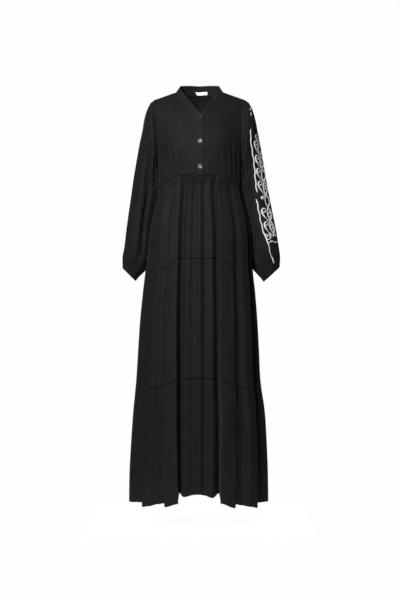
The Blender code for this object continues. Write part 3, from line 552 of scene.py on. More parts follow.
# The two bands of the opening: both edges, and how far each lies out from the front.
PLACKET_BANDS = (
    ("placket_under", "under_free", "under_outer", 0.0),
    ("placket_over", "over_outer", "over_free", OVER_BAND_OUTSET),
)

# Sewing: length of a stitch, from one to the next, its width, and how far up it lies.
STITCH_LENGTH = 2.4 * MM
STITCH_PITCH = 3.4 * MM
STITCH_WIDTH = 0.5 * MM
STITCH_LIFT = 0.1 * MM
COLLAR_STITCH_STEPS = 300
HEM_STITCH_STEPS = 420
# The hem's sewing line, as a share of the way down the last tier.
HEM_STITCH_SHARE = 0.976


def table(names, rows, scale=MM):
    """The rows as one list for each named column, each value times the scale."""
    return {name: [row[i] * scale for row in rows] for i, name in enumerate(names)}


def blend(a, b, share):
    """The value a share of the way from a to b."""
    return a + (b - a) * share


def ease(share):
    """A share of 0 to 1, eased at both ends."""
    share = min(max(share, 0.0), 1.0)
    return share * share * (3.0 - 2.0 * share)


def slope_at(xs, ys, i):
    """Slope of the smooth curve at its point i."""
    low = max(i - 1, 0)
    high = min(i + 1, len(xs) - 1)
    return (ys[high] - ys[low]) / (xs[high] - xs[low])


def curve_value(xs, ys, x):
    """Value of the smooth curve through the points, at x. The xs rise."""
    if x <= xs[0]:
        return ys[0]
    if x >= xs[-1]:
        return ys[-1]
    i = bisect.bisect_right(xs, x) - 1
    span = xs[i + 1] - xs[i]
    t = (x - xs[i]) / span
    start = slope_at(xs, ys, i) * span
    end = slope_at(xs, ys, i + 1) * span
    t2 = t * t
    t3 = t2 * t
    return ((2 * t3 - 3 * t2 + 1) * ys[i] + (t3 - 2 * t2 + t) * start
            + (3 * t2 - 2 * t3) * ys[i + 1] + (t3 - t2) * end)


def line_value(xs, ys, x):
    """Value of the straight pieces through the points, at x. The xs rise."""
    if x <= xs[0]:
        return ys[0]
    if x >= xs[-1]:
        return ys[-1]
    i = bisect.bisect_right(xs, x) - 1
    return blend(ys[i], ys[i + 1], (x - xs[i]) / (xs[i + 1] - xs[i]))


BODY = table(BODY_COLUMNS, BODY_SECTIONS)
ARM = table(ARMHOLE_COLUMNS, ARMHOLE)
OPEN = table(OPENING_COLUMNS, OPENING)
RINGS = table(SLEEVE_COLUMNS, SLEEVE_RINGS)
RING_NUMBERS = [float(i) for i in range(len(SLEEVE_RINGS))]


def body_size(column, height):
    """A measure of the body's sections at a height."""
    return curve_value(BODY["height"], BODY[column], height)


def side_column(x):
    """The column of the half widths on the wearer's left, at +X, or right."""
    return "left" if x > 0.0 else "right"


def body_point(angle, height, inset):
    """A point of the skirt: the angle is 0 at centre front and 180 degrees at centre back."""
    sine = math.sin(angle)
    cosine = math.cos(angle)
    width = body_size(side_column(sine), height)
    depth = body_size("front" if cosine > 0.0 else "back", height)
    normal = Vector((sine / width, -cosine / depth, 0.0)).normalized()
    return Vector((width * sine, -depth * cosine, height)) - normal * inset


def bodice_height(x, z):
    """The body height that gives the depth at x, z, once the shoulder slope is taken off."""
    rise = max(TIP_X - abs(x), 0.0) * (NECK_Z - TIP_Z) / (TIP_X - NECK_X)
    return z - rise * (1.0 - ease((TIP_Z - z) / SHOULDER_FADE))


def bodice_depth(x, z, part):
    """Depth of the bodice at x, z, on the front or the back."""
    height = bodice_height(x, z)
    width = body_size(side_column(x), height)
    share = max(1.0 - (x / width) ** 2, 0.0)
    depth = body_size(part, height) * math.sqrt(share)
    if part == "front":
        away = ((abs(x) - BUST_X) ** 2 + (z - BUST_Z) ** 2) / BUST_SPREAD ** 2
        depth += BUST_FULLNESS * math.exp(-away)
    return max(depth, SHOULDER_FLAT)


def front_point(x, z, outset=0.0):
    """A point of the front bodice, moved out of the cloth by the outset, and the normal there."""
    depth = bodice_depth(x, z, "front")
    step = 1.0 * MM
    across = bodice_depth(x + step, z, "front") - bodice_depth(x - step, z, "front")
    down = bodice_depth(x, z + step, "front") - bodice_depth(x, z - step, "front")
    normal = Vector((-across / (2 * step), -1.0, -down / (2 * step))).normalized()
    return Vector((x, -depth, z)) + normal * outset, normal


def seam_height(index, angle):
    """Height of a gathered seam, or of the hem as the last one, round the body."""
    front, side, back, flat, _ = SEAMS[index]
    sideways = abs(math.sin(angle))
    if math.cos(angle) < 0.0:
        return blend(back, side, sideways ** 2) * MM
    share = max(sideways - flat, 0.0) / (1.0 - flat)
    return blend(front, side, share ** ARCH_BEND) * MM


def crease_depth(creases, place, z):
    """How far the creases draw the cloth in at a place, with z in the creases' own units."""
    depth = 0.0
    for top, top_z, low, low_z, deep, left, right in creases:
        share = (z - top_z) / (low_z - top_z)
        if share < 0.0 or share > 1.0:
            continue
        middle = top + (low - top) * share
        away = (place - middle) / (left if place < middle else right)
        if abs(away) < CREASE_REACH:
            ends = ease(share * CREASE_TOP_RATE) * ease((1.0 - share) * CREASE_LOW_RATE + CREASE_LEFT)
            depth += deep * MM * math.exp(-away * away) * ends
    return depth


def turned_towards(normal, away):
    """The normal, or its opposite where that one points away as asked."""
    return -normal if normal.dot(away) < 0.0 else normal


def make_gathers(seed, first, last, narrow, wide):
    """Puffs between the pinched lines of a gathered seam: start, end, rise and reach. The seed
    only varies how they fall."""
    chance = random.Random(seed)
    gathers = []
    place = first
    while place < last:
        width = chance.uniform(narrow, wide)
        reach = PUFF_SHORT + (PUFF_LONG - PUFF_SHORT) * chance.random() ** 2
        gathers.append((place, place + width, chance.uniform(0.55, 1.15), reach))
        place += width
    return gathers


def puff(gathers, starts, place, below, unit, started=True):
    """How far a gather stands out at a place along its seam, and below it. The unit is the
    length of one step of place."""
    i = bisect.bisect_right(starts, place) - 1
    if i < 0:
        return 0.0
    start, end, rise, reach = gathers[i]
    share = (place - start) / (end - start)
    if share >= 1.0:
        return 0.0
    height = rise * (end - start) * unit * PUFF_RISE
    grown = blend(PUFF_AT_SEAM, 1.0, ease(below / PUFF_START)) if started else 1.0
    return height * math.sin(math.pi * share) * math.exp(-below / reach) * grown


# Materials


def linear(hex_colour):
    """An sRGB hex colour as linear values with full alpha."""
    values = [int(hex_colour[i:i + 2], 16) / 255.0 for i in (1, 3, 5)]
    return [v / 12.92 if v <= 0.04045 else ((v + 0.055) / 1.055) ** 2.4 for v in values] + [1.0]


def add_node(tree, kind, settings=(), values=(), links=()):
    """A node with its settings, its sockets' own values and its links."""
    made = tree.nodes.new(kind)
    for name, value in settings:
        setattr(made, name, value)
    for socket, value in values:
        made.inputs[socket].default_value = value
    for socket, source in links:
        tree.links.new(source, made.inputs[socket])
    return made


def new_material(name, values):
    """A material with its Principled shader and the values of the shader's own sockets."""
    material = bpy.data.materials.new(name)
    material.use_nodes = True
    tree = material.node_tree
    shader = tree.nodes["Principled BSDF"]
    for socket, value in values:
        shader.inputs[socket].default_value = value
    return material, tree, shader


def clouded_colour(tree, shader, place, clouds, tones, spread):
    """A colour that drifts between two tones. The spread is where the clouds are all of each."""
    noise = add_node(tree, "ShaderNodeTexNoise", values=clouds,
                     links=(("Vector", place.outputs["Object"]),))
    tone = add_node(tree, "ShaderNodeValToRGB", links=(("Fac", noise.outputs["Fac"]),))
    for end, colour, position in zip(tone.color_ramp.elements, tones, spread):
        end.color = linear(colour)
        end.position = position
    tree.links.new(tone.outputs["Color"], shader.inputs["Base Color"])


def threaded_surface(tree, shader, source, direction, waves, relief, tones=()):
    """Threads side by side, as fine waves: their relief and, where given, their two tones."""
    place = add_node(tree, "ShaderNodeTexCoord")
    threads = add_node(tree, "ShaderNodeTexWave", settings=(("bands_direction", direction),),
                       values=waves, links=(("Vector", place.outputs[source]),))
    if tones:
        tone = add_node(tree, "ShaderNodeValToRGB", links=(("Fac", threads.outputs["Fac"]),))
        for end, colour in zip(tone.color_ramp.elements, tones):
            end.color = linear(colour)
        tree.links.new(tone.outputs["Color"], shader.inputs["Base Color"])
    bump = add_node(tree, "ShaderNodeBump", values=relief, links=(("Height", threads.outputs["Fac"]),))
    tree.links.new(bump.outputs["Normal"], shader.inputs["Normal"])


CREPE_SHINE = (("Specular IOR Level", 0.12), ("Sheen Weight", 0.03), ("Sheen Roughness", 0.5))


def crepe_surface(tree, shader, tones, coarse):
    """Crepe's pebbled grain over its fine threads, and its slightly uneven black. Both are drawn
    coarser than real ones, at coarse millimetres, to show at all."""
    place = add_node(tree, "ShaderNodeTexCoord")
    clouded_colour(tree, shader, place, (("Scale", 22.0), ("Detail", 3.0)), tones, (0.3, 0.75))
    grain = add_node(tree, "ShaderNodeTexNoise",
                     values=(("Scale", 1.0 / (coarse * MM)), ("Detail", 2.0)),
                     links=(("Vector", place.outputs["Object"]),))
    threads = add_node(tree, "ShaderNodeTexWave", settings=(("bands_direction", "X"),),
                       values=(("Scale", 1.0 / (coarse * 6.0 * MM)), ("Distortion", 2.5),
                               ("Detail", 1.0)),
                       links=(("Vector", place.outputs["UV"]),))
    both = add_node(tree, "ShaderNodeMix", settings=(("data_type", "FLOAT"),),
                    values=(("Factor", 0.35),),
                    links=(("A", grain.outputs["Fac"]), ("B", threads.outputs["Fac"])))
    bump = add_node(tree, "ShaderNodeBump", values=(("Strength", 0.45), ("Distance", 0.25 * MM)),
                    links=(("Height", both.outputs["Result"]),))
    tree.links.new(bump.outputs["Normal"], shader.inputs["Normal"])
    rough = add_node(tree, "ShaderNodeMapRange", values=(("To Min", 0.66), ("To Max", 0.84)),
                     links=(("Value", grain.outputs["Fac"]),))
    tree.links.new(rough.outputs["Result"], shader.inputs["Roughness"])
    return bump


def make_crepe():
    """Black viscose crepe, piece-dyed: matt and pebbly, and one layer lets a little light through."""
    material, tree, shader = new_material("viscose_crepe_black", CREPE_SHINE)
    bump = crepe_surface(tree, shader, ("#131314", "#19191a"), 1.5)
    through = add_node(tree, "ShaderNodeBsdfTranslucent", values=(("Color", linear("#454547")),),
                       links=(("Normal", bump.outputs["Normal"]),))
    both = add_node(tree, "ShaderNodeMixShader", values=(("Fac", 0.1),))
    tree.links.new(shader.outputs["BSDF"], both.inputs[1])
    tree.links.new(through.outputs["BSDF"], both.inputs[2])
    tree.links.new(both.outputs["Shader"], tree.nodes["Material Output"].inputs["Surface"])
    return material


def make_band_crepe():
    """The same crepe doubled over an interlining, so no light comes through it."""
    material, tree, shader = new_material("doubled_crepe_black", CREPE_SHINE)
    crepe_surface(tree, shader, ("#131314", "#18181a"), 1.3)
    return material


def make_thread():
    """Spun polyester sewing thread in black, a little glossier than the crepe."""
    values = (("Base Color", linear("#161617")), ("Roughness", 0.5), ("Specular IOR Level", 0.3))
    material, tree, shader = new_material("sewing_thread_black", values)
    threaded_surface(tree, shader, "Object", "DIAGONAL", (("Scale", 500.0),),
                     (("Strength", 0.3), ("Distance", 0.1 * MM)))
    return material


def make_floss():
    """Off-white viscose embroidery floss in satin stitch: bright threads lie across each line,
    drawn 5 mm apart in bundles, because single ones are too fine to show."""
    values = (("Roughness", 0.5), ("Specular IOR Level", 0.4), ("Sheen Weight", 0.1))
    material, tree, shader = new_material("embroidery_floss_off_white", values)
    threaded_surface(tree, shader, "UV", "X",
                     (("Scale", 1.0 / (5.0 * MM)), ("Distortion", 1.2), ("Detail", 1.5)),
                     (("Strength", 0.7), ("Distance", 0.3 * MM)), ("#b0afab", "#ebe9e4"))
    return material


def make_shell(name, tones, roughness, shine):
    """River-shell buttons dyed grey: polished, with soft pearly clouds. Given darker tones, it makes a
    copy with painted shade.
    """
    values = (("Roughness", roughness), ("Specular IOR Level", shine), ("Coat Weight", shine * 0.6),
              ("Coat Roughness", roughness * 0.6))
    material, tree, shader = new_material(name, values)
    place = add_node(tree, "ShaderNodeTexCoord")
    clouds = (("Scale", 180.0), ("Detail", 3.0), ("Distortion", 1.4))
    clouded_colour(tree, shader, place, clouds, tones, (0.3, 0.72))
    return material


def make_satin():
    """Woven satin label tape, white and bare: floats along its length, drawn coarse to show."""
    values = (("Roughness", 0.45), ("Specular IOR Level", 0.4), ("Sheen Weight", 0.1))
    material, tree, shader = new_material("satin_tape_white", values)
    threaded_surface(tree, shader, "UV", "Y", (("Scale", 1.0 / (4.0 * MM)), ("Distortion", 1.0)),
                     (("Strength", 0.3), ("Distance", 0.1 * MM)), ("#f0f0ee", "#fdfdfc"))
    return material


CREPE = make_crepe()
BAND_CREPE = make_band_crepe()
THREAD = make_thread()
FLOSS = make_floss()
SHELL = make_shell("polished_shell_grey", ("#515256", "#808185"), 0.36, 0.4)
# The top button's shell, darkened and dulled: painted shade for a button that lies in shadow. It is the
# same grey shell as the others.
SHADED_SHELL = make_shell("shell_painted_shade", ("#18181a", "#242427"), 0.6, 0.15)
SATIN = make_satin()


# Pieces


def add_piece(name, bm, material, slot, replaced=()):
    """The mesh as a piece that rides on the dress, in the place of the nodes it stands for."""
    mesh = bpy.data.meshes.new(name)
    bm.to_mesh(mesh)
    bm.free()
    mesh.shade_smooth()
    mesh.materials.append(material)
    piece = bpy.data.objects.new(name, mesh)
    bpy.context.scene.collection.objects.link(piece)
    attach(piece, "root")
    if replaced:
        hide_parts(*replaced)
    return piece


def make_sheet(name, node, size, flat, place, inside, finish,
               wall=CLOTH_THICKNESS, tube=False):
    """One piece of cloth: a fine grid laid by the place function, given its thickness inwards.
    The finish is its material and a slot, which is not used, and inside is a point that its faces turn
    away from."""
    material, slot = finish
    bm = bmesh.new()
    uv = bm.loops.layers.uv.verify()
    bmesh.ops.create_grid(bm, x_segments=size[0], y_segments=size[1], size=0.5, calc_uvs=True)
    for face in bm.faces:
        for loop in face.loops:
            loop[uv].uv.x *= flat[0]
            loop[uv].uv.y *= flat[1]
    for vert in bm.verts:
        vert.co = place(min(max(vert.co.x + 0.5, 0.0), 1.0), min(max(0.5 - vert.co.y, 0.0), 1.0))
    if tube:
        bmesh.ops.remove_doubles(bm, verts=bm.verts, dist=WELD)
    bm.normal_update()
    facing = sum(face.normal.dot(face.calc_center_median() - inside) for face in bm.faces)
    if facing < 0.0:
        bmesh.ops.reverse_faces(bm, faces=bm.faces)
    piece = add_piece(name, bm, material, slot, (node,))
    solidify = piece.modifiers.new("thickness", "SOLIDIFY")
    solidify.thickness = wall
    solidify.offset = -1.0
    return piece


# Skirt


def fold_at(folds, column, depth):
    """Angle, inset and lift of the hem at a place between the folds, and a depth down the skirt."""
    number = min(int(column), len(folds) - 2)
    between = column - number
    left, right = folds[number], folds[number + 1]
    degrees = blend(blend(left[0], left[1], depth), blend(right[0], right[1], depth), between)
    deep = depth ** FOLD_GROWTH
    rounded = ease(between)
    inset = blend(blend(left[2], left[3], deep), blend(right[2], right[3], deep), rounded)
    return degrees, inset * MM, blend(left[4], right[4], rounded) * MM


def tier_place(folds, creases, centre, index, columns, gathers, lower_gathers):
    """Grid size and place function of one gathered panel, with its edges tucked under its
    neighbours. The lower gathers are those of the seam at its low edge."""
    across = columns * (len(folds) - 1) + 2
    down = TIER_ROWS + 1
    starts = [gather[0] for gather in gathers]
    lower_starts = [gather[0] for gather in lower_gathers]
    front = centre == "front"
    outwards = -1.0 if front else 1.0
    at_hem = index == len(SEAMS) - 2

    def place(u, v):
        column = min(max((u * across - 1.0) / columns, 0.0), len(folds) - 1.0)
        row = v * down - 1.0
        share = (max(row, 0.0) / (down - 1.0)) ** TIER_ROW_BEND
        depth = blend(SEAMS[index][4], SEAMS[index + 1][4], share)
        degrees, inset, lift = fold_at(folds, column, depth)
        angle = math.radians(degrees) if front else math.pi - math.radians(degrees)
        top = seam_height(index, angle) - TIER_GAP
        low = seam_height(index + 1, angle)
        if at_hem:
            low += lift
        height = blend(top, low, share)
        below = seam_height(0, angle) - TIER_GAP - height
        inset *= 1.0 - math.exp(-below / FOLD_START)
        side_fade = ease((90.0 - abs(degrees)) / CREASE_FADE)
        unit = abs(top) * DEGREE_GROWTH + DEGREE_LENGTH
        out = puff(gathers, starts, degrees, top - height, unit) * SEAM_FULLNESS[index]
        above = puff(lower_gathers, lower_starts, degrees, height - low, unit, started=False)
        out += above * PUFF_ABOVE
        inset -= out * ease((88.0 - abs(degrees)) / PUFF_FADE)
        inset += crease_depth(creases, degrees, height / MM) * side_fade
        inset += PINCH_DEPTH * math.exp(-(top - height) / PINCH_REACH) * side_fade
        if not at_hem:
            inset += PINCH_UPPER_DEPTH * math.exp(-(height - low) / PINCH_REACH) * side_fade
        if row < -0.5:
            height += TUCK_UP
            inset += TUCK_IN
        at_side = u * across < 0.5 or u * across > across - 0.5
        if at_side:
            inset += TUCK_IN
        point = body_point(angle, height, inset)
        if at_side:
            point.y = -outwards * TUCK_SIDE
        elif column <= 0.0 or column >= len(folds) - 1.0:
            point.y = outwards * SEAM_GAP
        return point

    return (across, down), place


def make_skirt():
    """Three gathered tiers, each a front and a back panel."""
    for centre, folds, creases, columns, seeds, flats in SKIRT_HALVES:
        seams = [make_gathers(seed, -89.0, 89.0, *SKIRT_SPACING) for seed in seeds]
        for index, tier in enumerate(("upper", "middle", "lower")):
            lower = seams[index + 1] if index < 2 else []
            size, place = tier_place(folds, creases, centre, index, columns, seams[index], lower)
            name = "tier_" + tier + "_" + centre
            middle = Vector((0.0, 0.0, -0.5 - 0.3 * index))
            make_sheet(name + "_cloth", name, size, flats[index], place, middle, (CREPE, "crepe"))


# Bodice


BODICE_MIDDLE = Vector((0.0, 0.0, -0.15))


def outer_edge(side, z):
    """Half width at the armhole, and at the side seam below it."""
    if z >= UNDERARM_Z:
        return line_value(ARM["height"], ARM["half_width"], z)
    return body_size(side_column(side), z)


def front_row(side, t):
    """Inner edge and outer height of the front's row at t, counted down the tables."""
    rows = [(row[0] * MM * side, row[1] * MM, row[2] * MM) for row in NECK_ROWS]
    edge, gap = ("right_front", 0.0) if side < 0 else ("under_outer", SEAM_GAP)
    for height, outer in OPENING_ROWS:
        inner = line_value(OPEN["height"], OPEN[edge], height * MM) + gap
        rows.append((inner, height * MM, outer * MM))
    low = min(int(t), len(rows) - 2)
    return [blend(a, b, t - low) for a, b in zip(rows[low], rows[low + 1])]


def make_front(name, side):
    """One half of the front, from the neck and the opening to the armhole and the side."""
    across, down = FRONT_GRID
    count = len(NECK_ROWS) + len(OPENING_ROWS) - 1
    rows = [front_row(side, (i / down) ** FRONT_ROW_BEND * count) for i in range(down + 1)]
    last = front_row(side, count)
    gathers = make_gathers(71 + side, 0.0, 150.0, *BODICE_SPACING)
    starts = [gather[0] for gather in gathers]

    def place(u, v):
        inner_x, inner_z, outer_z = rows[round(v * down)]
        outer_x = outer_edge(side, outer_z) * side
        share = math.sin(u * math.pi / 2.0)
        x = blend(inner_x, outer_x, share)
        z = blend(inner_z, outer_z, share)
        seam = seam_height(0, math.asin(min(abs(x / outer_x), 1.0)))
        settle = v ** (3.0 * FRONT_ROW_BEND)
        z += (seam - blend(last[1], last[2], share)) * settle
        if u > 0.999 and outer_z <= UNDERARM_Z:
            return Vector((outer_edge(side, z) * side, -SEAM_GAP, z))
        point, normal = front_point(x, z)
        above = max(z - seam, 0.0)
        fade = ease((1.0 - u) * 12.0) * ease((abs(x) - BAND_CLEAR) / BAND_FADE)
        inset = crease_depth(FRONT_CREASES, x / MM, z / MM) * ease((1.0 - u) * 30.0)
        inset -= puff(gathers, starts, abs(x) / MM, above, MM, started=False) * PUFF_BODICE * fade
        inset += PINCH_UPPER_DEPTH * math.exp(-above / PINCH_REACH) * fade
        return point - normal * inset

    make_sheet(name + "_cloth", name, FRONT_GRID, (0.175, 0.31), place, BODICE_MIDDLE,
               (CREPE, "crepe"))


def back_top(x):
    """Upper edge of the back: the neck curve, then the shoulder seam."""
    if abs(x) <= NECK_X:
        return blend(BACK_NECK_Z, NECK_Z, (abs(x) / NECK_X) ** BACK_NECK_BEND)
    return blend(NECK_Z, TIP_Z, (abs(x) - NECK_X) / (TIP_X - NECK_X))


def make_back():
    """The back of the bodice in one piece, from side to side."""
    gathers = make_gathers(83, -150.0, 150.0, *BODICE_SPACING)
    starts = [gather[0] for gather in gathers]

    def place(u, v):
        across = math.sin((u - 0.5) * math.pi)
        share = v ** BACK_ROW_BEND
        side = 1 if across > 0 else -1
        edge_z = blend(TIP_Z, seam_height(0, math.pi / 2.0), share)
        x = across * outer_edge(side, edge_z)
        low = seam_height(0, math.pi - math.asin(min(abs(across), 1.0)))
        z = blend(back_top(across * TIP_X), low, share)
        if (u < 0.001 or u > 0.999) and edge_z <= UNDERARM_Z:
            return Vector((x, SEAM_GAP, z))
        above = max(z - low, 0.0)
        fade = ease((0.5 - abs(u - 0.5)) * 20.0)
        y = bodice_depth(x, z, "back")
        y -= crease_depth(BACK_CREASES, x / MM, z / MM) * fade
        y += puff(gathers, starts, x / MM, above, MM, started=False) * PUFF_BODICE * fade
        y -= PINCH_UPPER_DEPTH * math.exp(-above / PINCH_REACH) * fade
        return Vector((x, max(y, SEAM_GAP), z))

    make_sheet("bodice_back_cloth", "bodice_back", BACK_GRID, (0.42, 0.32), place, BODICE_MIDDLE,
               (CREPE, "crepe"))


def soften_edges(piece):
    """Rounds the edges of a thick band."""
    bevel = piece.modifiers.new("rounded edges", "BEVEL")
    bevel.width = BAND_EDGE
    bevel.segments = 2
    bevel.limit_method = "ANGLE"
    bevel.angle_limit = math.radians(50.0)


def band_point(first, second, outset, across, z):
    """A point of a band and the normal there, at a share across between its edges."""
    start = line_value(OPEN["height"], OPEN[first], z)
    end = line_value(OPEN["height"], OPEN[second], z)
    return front_point(blend(start, end, across), z, outset)


def opening_height(share):
    """A height on the bands of the opening, from their top, share 0, to the first seam, share 1."""
    return blend(OPENING_ROWS[0][0], OPENING_ROWS[-1][0], share) * MM


def make_band(name, first, second, outset):
    """One doubled band of the front opening. Both turn open along the neck slit."""
    def place(u, v):
        z = opening_height(v)
        point, normal = band_point(first, second, outset, u, z)
        ripple = math.sin(z / MM * 0.21) * math.sin(u * 3.0 + z / MM * 0.05) * BAND_RIPPLE
        return point + normal * ripple * ease(v * 8.0) * ease((1.0 - v) * 8.0)

    piece = make_sheet(name + "_cloth", name, BAND_GRID, (0.025, 0.26), place, BODICE_MIDDLE,
                       (BAND_CREPE, "crepe_band"), wall=BAND_THICKNESS)
    soften_edges(piece)


def collar_edges():
    """Foot and top edge of half the collar, from its front end to centre back."""
    edges = []
    for rows, part, facing in ((COLLAR_FRONT, "front", -1.0), (COLLAR_BACK, "back", 1.0)):
        for row in rows:
            foot_x, foot_z, top_x, top_z, lean = (value * MM for value in row)
            y = max(bodice_depth(foot_x, foot_z, part), 4.0 * MM) * facing
            foot = Vector((foot_x, y, foot_z))
            top = Vector((top_x, y + lean, top_z))
            foot += (top - foot).normalized() * COLLAR_LIFT
            edges.append((foot, top))
    return edges


COLLAR_EDGES = collar_edges()
COLLAR_HALF = len(COLLAR_EDGES) - 1


def collar_point(place, up):
    """A point of the collar: place 0 is at centre back, and counts stations to each side."""
    position = COLLAR_HALF - abs(place)
    low = min(int(position), COLLAR_HALF - 1)
    share = position - low
    foot = COLLAR_EDGES[low][0].lerp(COLLAR_EDGES[low + 1][0], share)
    top = COLLAR_EDGES[low][1].lerp(COLLAR_EDGES[low + 1][1], share)
    point = foot.lerp(top, up)
    if place < 0:
        point.x = -point.x
    return point


def collar_normal(place, up, step):
    """The outward normal of the collar at a place, taken over a step to each side."""
    along = collar_point(place + step, up) - collar_point(place - step, up)
    rise = collar_point(place, 1.0) - collar_point(place, 0.0)
    middle = collar_point(place, up)
    return turned_towards(along.cross(rise).normalized(), Vector((middle.x, middle.y, 0.0)))


def make_collar():
    """The doubled collar band, open in front."""
    def place(u, v):
        at = blend(-COLLAR_HALF, COLLAR_HALF, u)
        row = v * COLLAR_ROWS
        if row > COLLAR_ROWS - 0.5:
            foot = collar_point(at, 0.0)
            down = (foot - collar_point(at, 1.0)).normalized()
            inwards = Vector((-foot.x, -foot.y, 0.0)).normalized()
            return foot + down * COLLAR_TUCK_DOWN + inwards * COLLAR_TUCK_IN
        return collar_point(at, 1.0 - row / (COLLAR_ROWS - 1.0))

    size = (COLLAR_HALF * 10, COLLAR_ROWS)
    piece = make_sheet("collar_band_cloth", "collar_band", size, (0.40, 0.028), place,
                       Vector((0.0, 0.0, NECK_Z)), (BAND_CREPE, "crepe_band"),
                       wall=BAND_THICKNESS)
    soften_edges(piece)


def label_point(u, v):
    """A point of the label, which lies on the inner side of the collar at centre back."""
    at = LABEL_MIDDLE + (u - 0.5) * LABEL_STATIONS + (1.0 - u) * v * LABEL_SLANT
    up = blend(LABEL_TOP, LABEL_LOW, v)
    buckle = math.sin(u * math.pi) * math.sin(v * math.pi) * LABEL_BUCKLE
    return collar_point(at, up) - collar_normal(at, up, 0.5) * (BAND_WALL + 2.0 * LAY_GAP + buckle)


def make_label():
    """The bare tape in the back of the neck."""
    make_sheet("neck_label_tape", "neck_label", LABEL_GRID, (0.044, 0.013), label_point,
               Vector((0.0, 0.0, NECK_Z)), (SATIN, "label"), wall=LABEL_THICKNESS)


# Sleeves


def clear_of_body(point):
    """The point moved sideways where it would press into the body of the dress."""
    if point.z > UNDERARM_Z:
        return point
    side = 1.0 if point.x > 0.0 else -1.0
    depth = body_size("back" if point.y > 0.0 else "front", point.z)
    share = max(1.0 - (point.y / depth) ** 2, 0.0)
    limit = body_size(side_column(side), point.z) * math.sqrt(share) + SLEEVE_CLEARANCE
    if share > 0.0 and abs(point.x) < limit:
        point.x = side * limit
    return point


def laid_on_body(point, angle):
    """The underarm's point laid against the side of the body, less and less down the sleeve."""
    if not SNUG_LOW < point.z < UNDERARM_Z + MM:
        return point
    side = 1.0 if point.x > 0.0 else -1.0
    limit = body_size(side_column(side), point.z) + SEAM_GAP
    hold = ease((point.z - SNUG_LOW) / SNUG_FADE) * ease((-math.cos(angle) - SNUG_ARC) * 8.0)
    if abs(point.x) > limit:
        point.x = side * blend(abs(point.x), limit, hold)
    return point


def sleeve_fold_inset(degrees, down):
    """How far the long folds draw the sleeve in, round it and down it from 0 to 1."""
    inset = 0.0
    for top_angle, cuff_angle, depth, spread in SLEEVE_FOLDS:
        away = (degrees - blend(top_angle, cuff_angle, down)) / spread
        grown = ease(down * 4.0) * (1.0 - 0.5 * ease((down - 0.8) * 5.0))
        inset += depth * MM * math.exp(-away * away) * grown
    return inset


def armhole_point(side, angle, out):
    """The armhole's edge, moved out along X. Angle 0 is at the shoulder tip."""
    z = blend(TIP_Z, UNDERARM_Z, (1.0 - math.cos(angle)) / 2.0)
    half = line_value(ARM["height"], ARM["half_width"], z)
    sine = math.sin(angle)
    y = -bodice_depth(half, z, "front") if sine >= 0.0 else bodice_depth(half, z, "back")
    return Vector(((half + out) * side, y * min(abs(sine) * 12.0, 1.0), z))


def oval_point(outer, inner, half_depth, behind, angle, inset):
    """A point of a ring between two corners: angle 0 is at the outer corner, 90 degrees in front."""
    centre = (outer + inner) / 2.0
    reach = (outer - inner) / 2.0
    point = centre + reach * math.cos(angle)
    point.y = behind - half_depth * math.sin(angle)
    away = (point - Vector((centre.x, behind, centre.z))).normalized()
    return point - away * inset


def cuff_corner(side, x, z, run, share):
    """A corner of the cuff, moved from the mouth by a share of its run."""
    return Vector(((x + run[0] * share) * side, 0.0, z + run[1] * share)) * MM


def cuff_point(side, angle, back_off, inset):
    """A point of the cuff, back_off up from the mouth."""
    outer_x, outer_z, inner_x, inner_z = CUFF_MOUTHS[side]
    share = back_off / CUFF_LENGTH
    outer = cuff_corner(side, outer_x, outer_z, CUFF_OUTER_RUN, share)
    inner = cuff_corner(side, inner_x, inner_z, CUFF_INNER_RUN, share)
    half_depth = (outer - inner).length / 2.0 * CUFF_DEPTH_SHARE
    return oval_point(outer, inner, half_depth, CUFF_BEHIND, angle, inset)


CUFF_GATHERS = make_gathers(97, 0.0, 360.0, *CUFF_SPACING)
CUFF_STARTS = [gather[0] for gather in CUFF_GATHERS]


def cuff_puff(degrees, above):
    """How far the gathers of the cuff stand out, above it or on it."""
    i = bisect.bisect_right(CUFF_STARTS, degrees) - 1
    start, end, rise, reach = CUFF_GATHERS[i]
    end = min(end, 360.0)
    share = (degrees - start) / (end - start)
    return CUFF_PUFF * rise * math.sin(math.pi * share) * math.exp(-above / (reach * CUFF_PUFF_REACH))


def ring_size(column, t):
    """A measure of the sleeve at a ring, or between two."""
    return curve_value(RING_NUMBERS, RINGS[column], t)


def ring_corners(side, t):
    """Place and height of the outer and of the inner corner of a ring, counted from 0."""
    outer_x = ring_size("outer_left" if side > 0 else "outer_right", t)
    return outer_x, ring_size("outer_z", t), ring_size("inner_x", t), ring_size("inner_z", t)


def sleeve_ring(side, t, angle, inset):
    """A point of the sleeve between its rings, counted from 0 at the first."""
    outer_x, outer_z, inner_x, inner_z = ring_corners(side, t)
    outer = Vector((outer_x * side, 0.0, outer_z))
    inner = Vector((inner_x * side, 0.0, inner_z))
    return oval_point(outer, inner, ring_size("half_depth", t), ring_size("behind", t), angle, inset)


SLEEVE_LAST = len(SLEEVE_RINGS) - 1.0
SLEEVE_SPAN = SLEEVE_LAST + 2.0


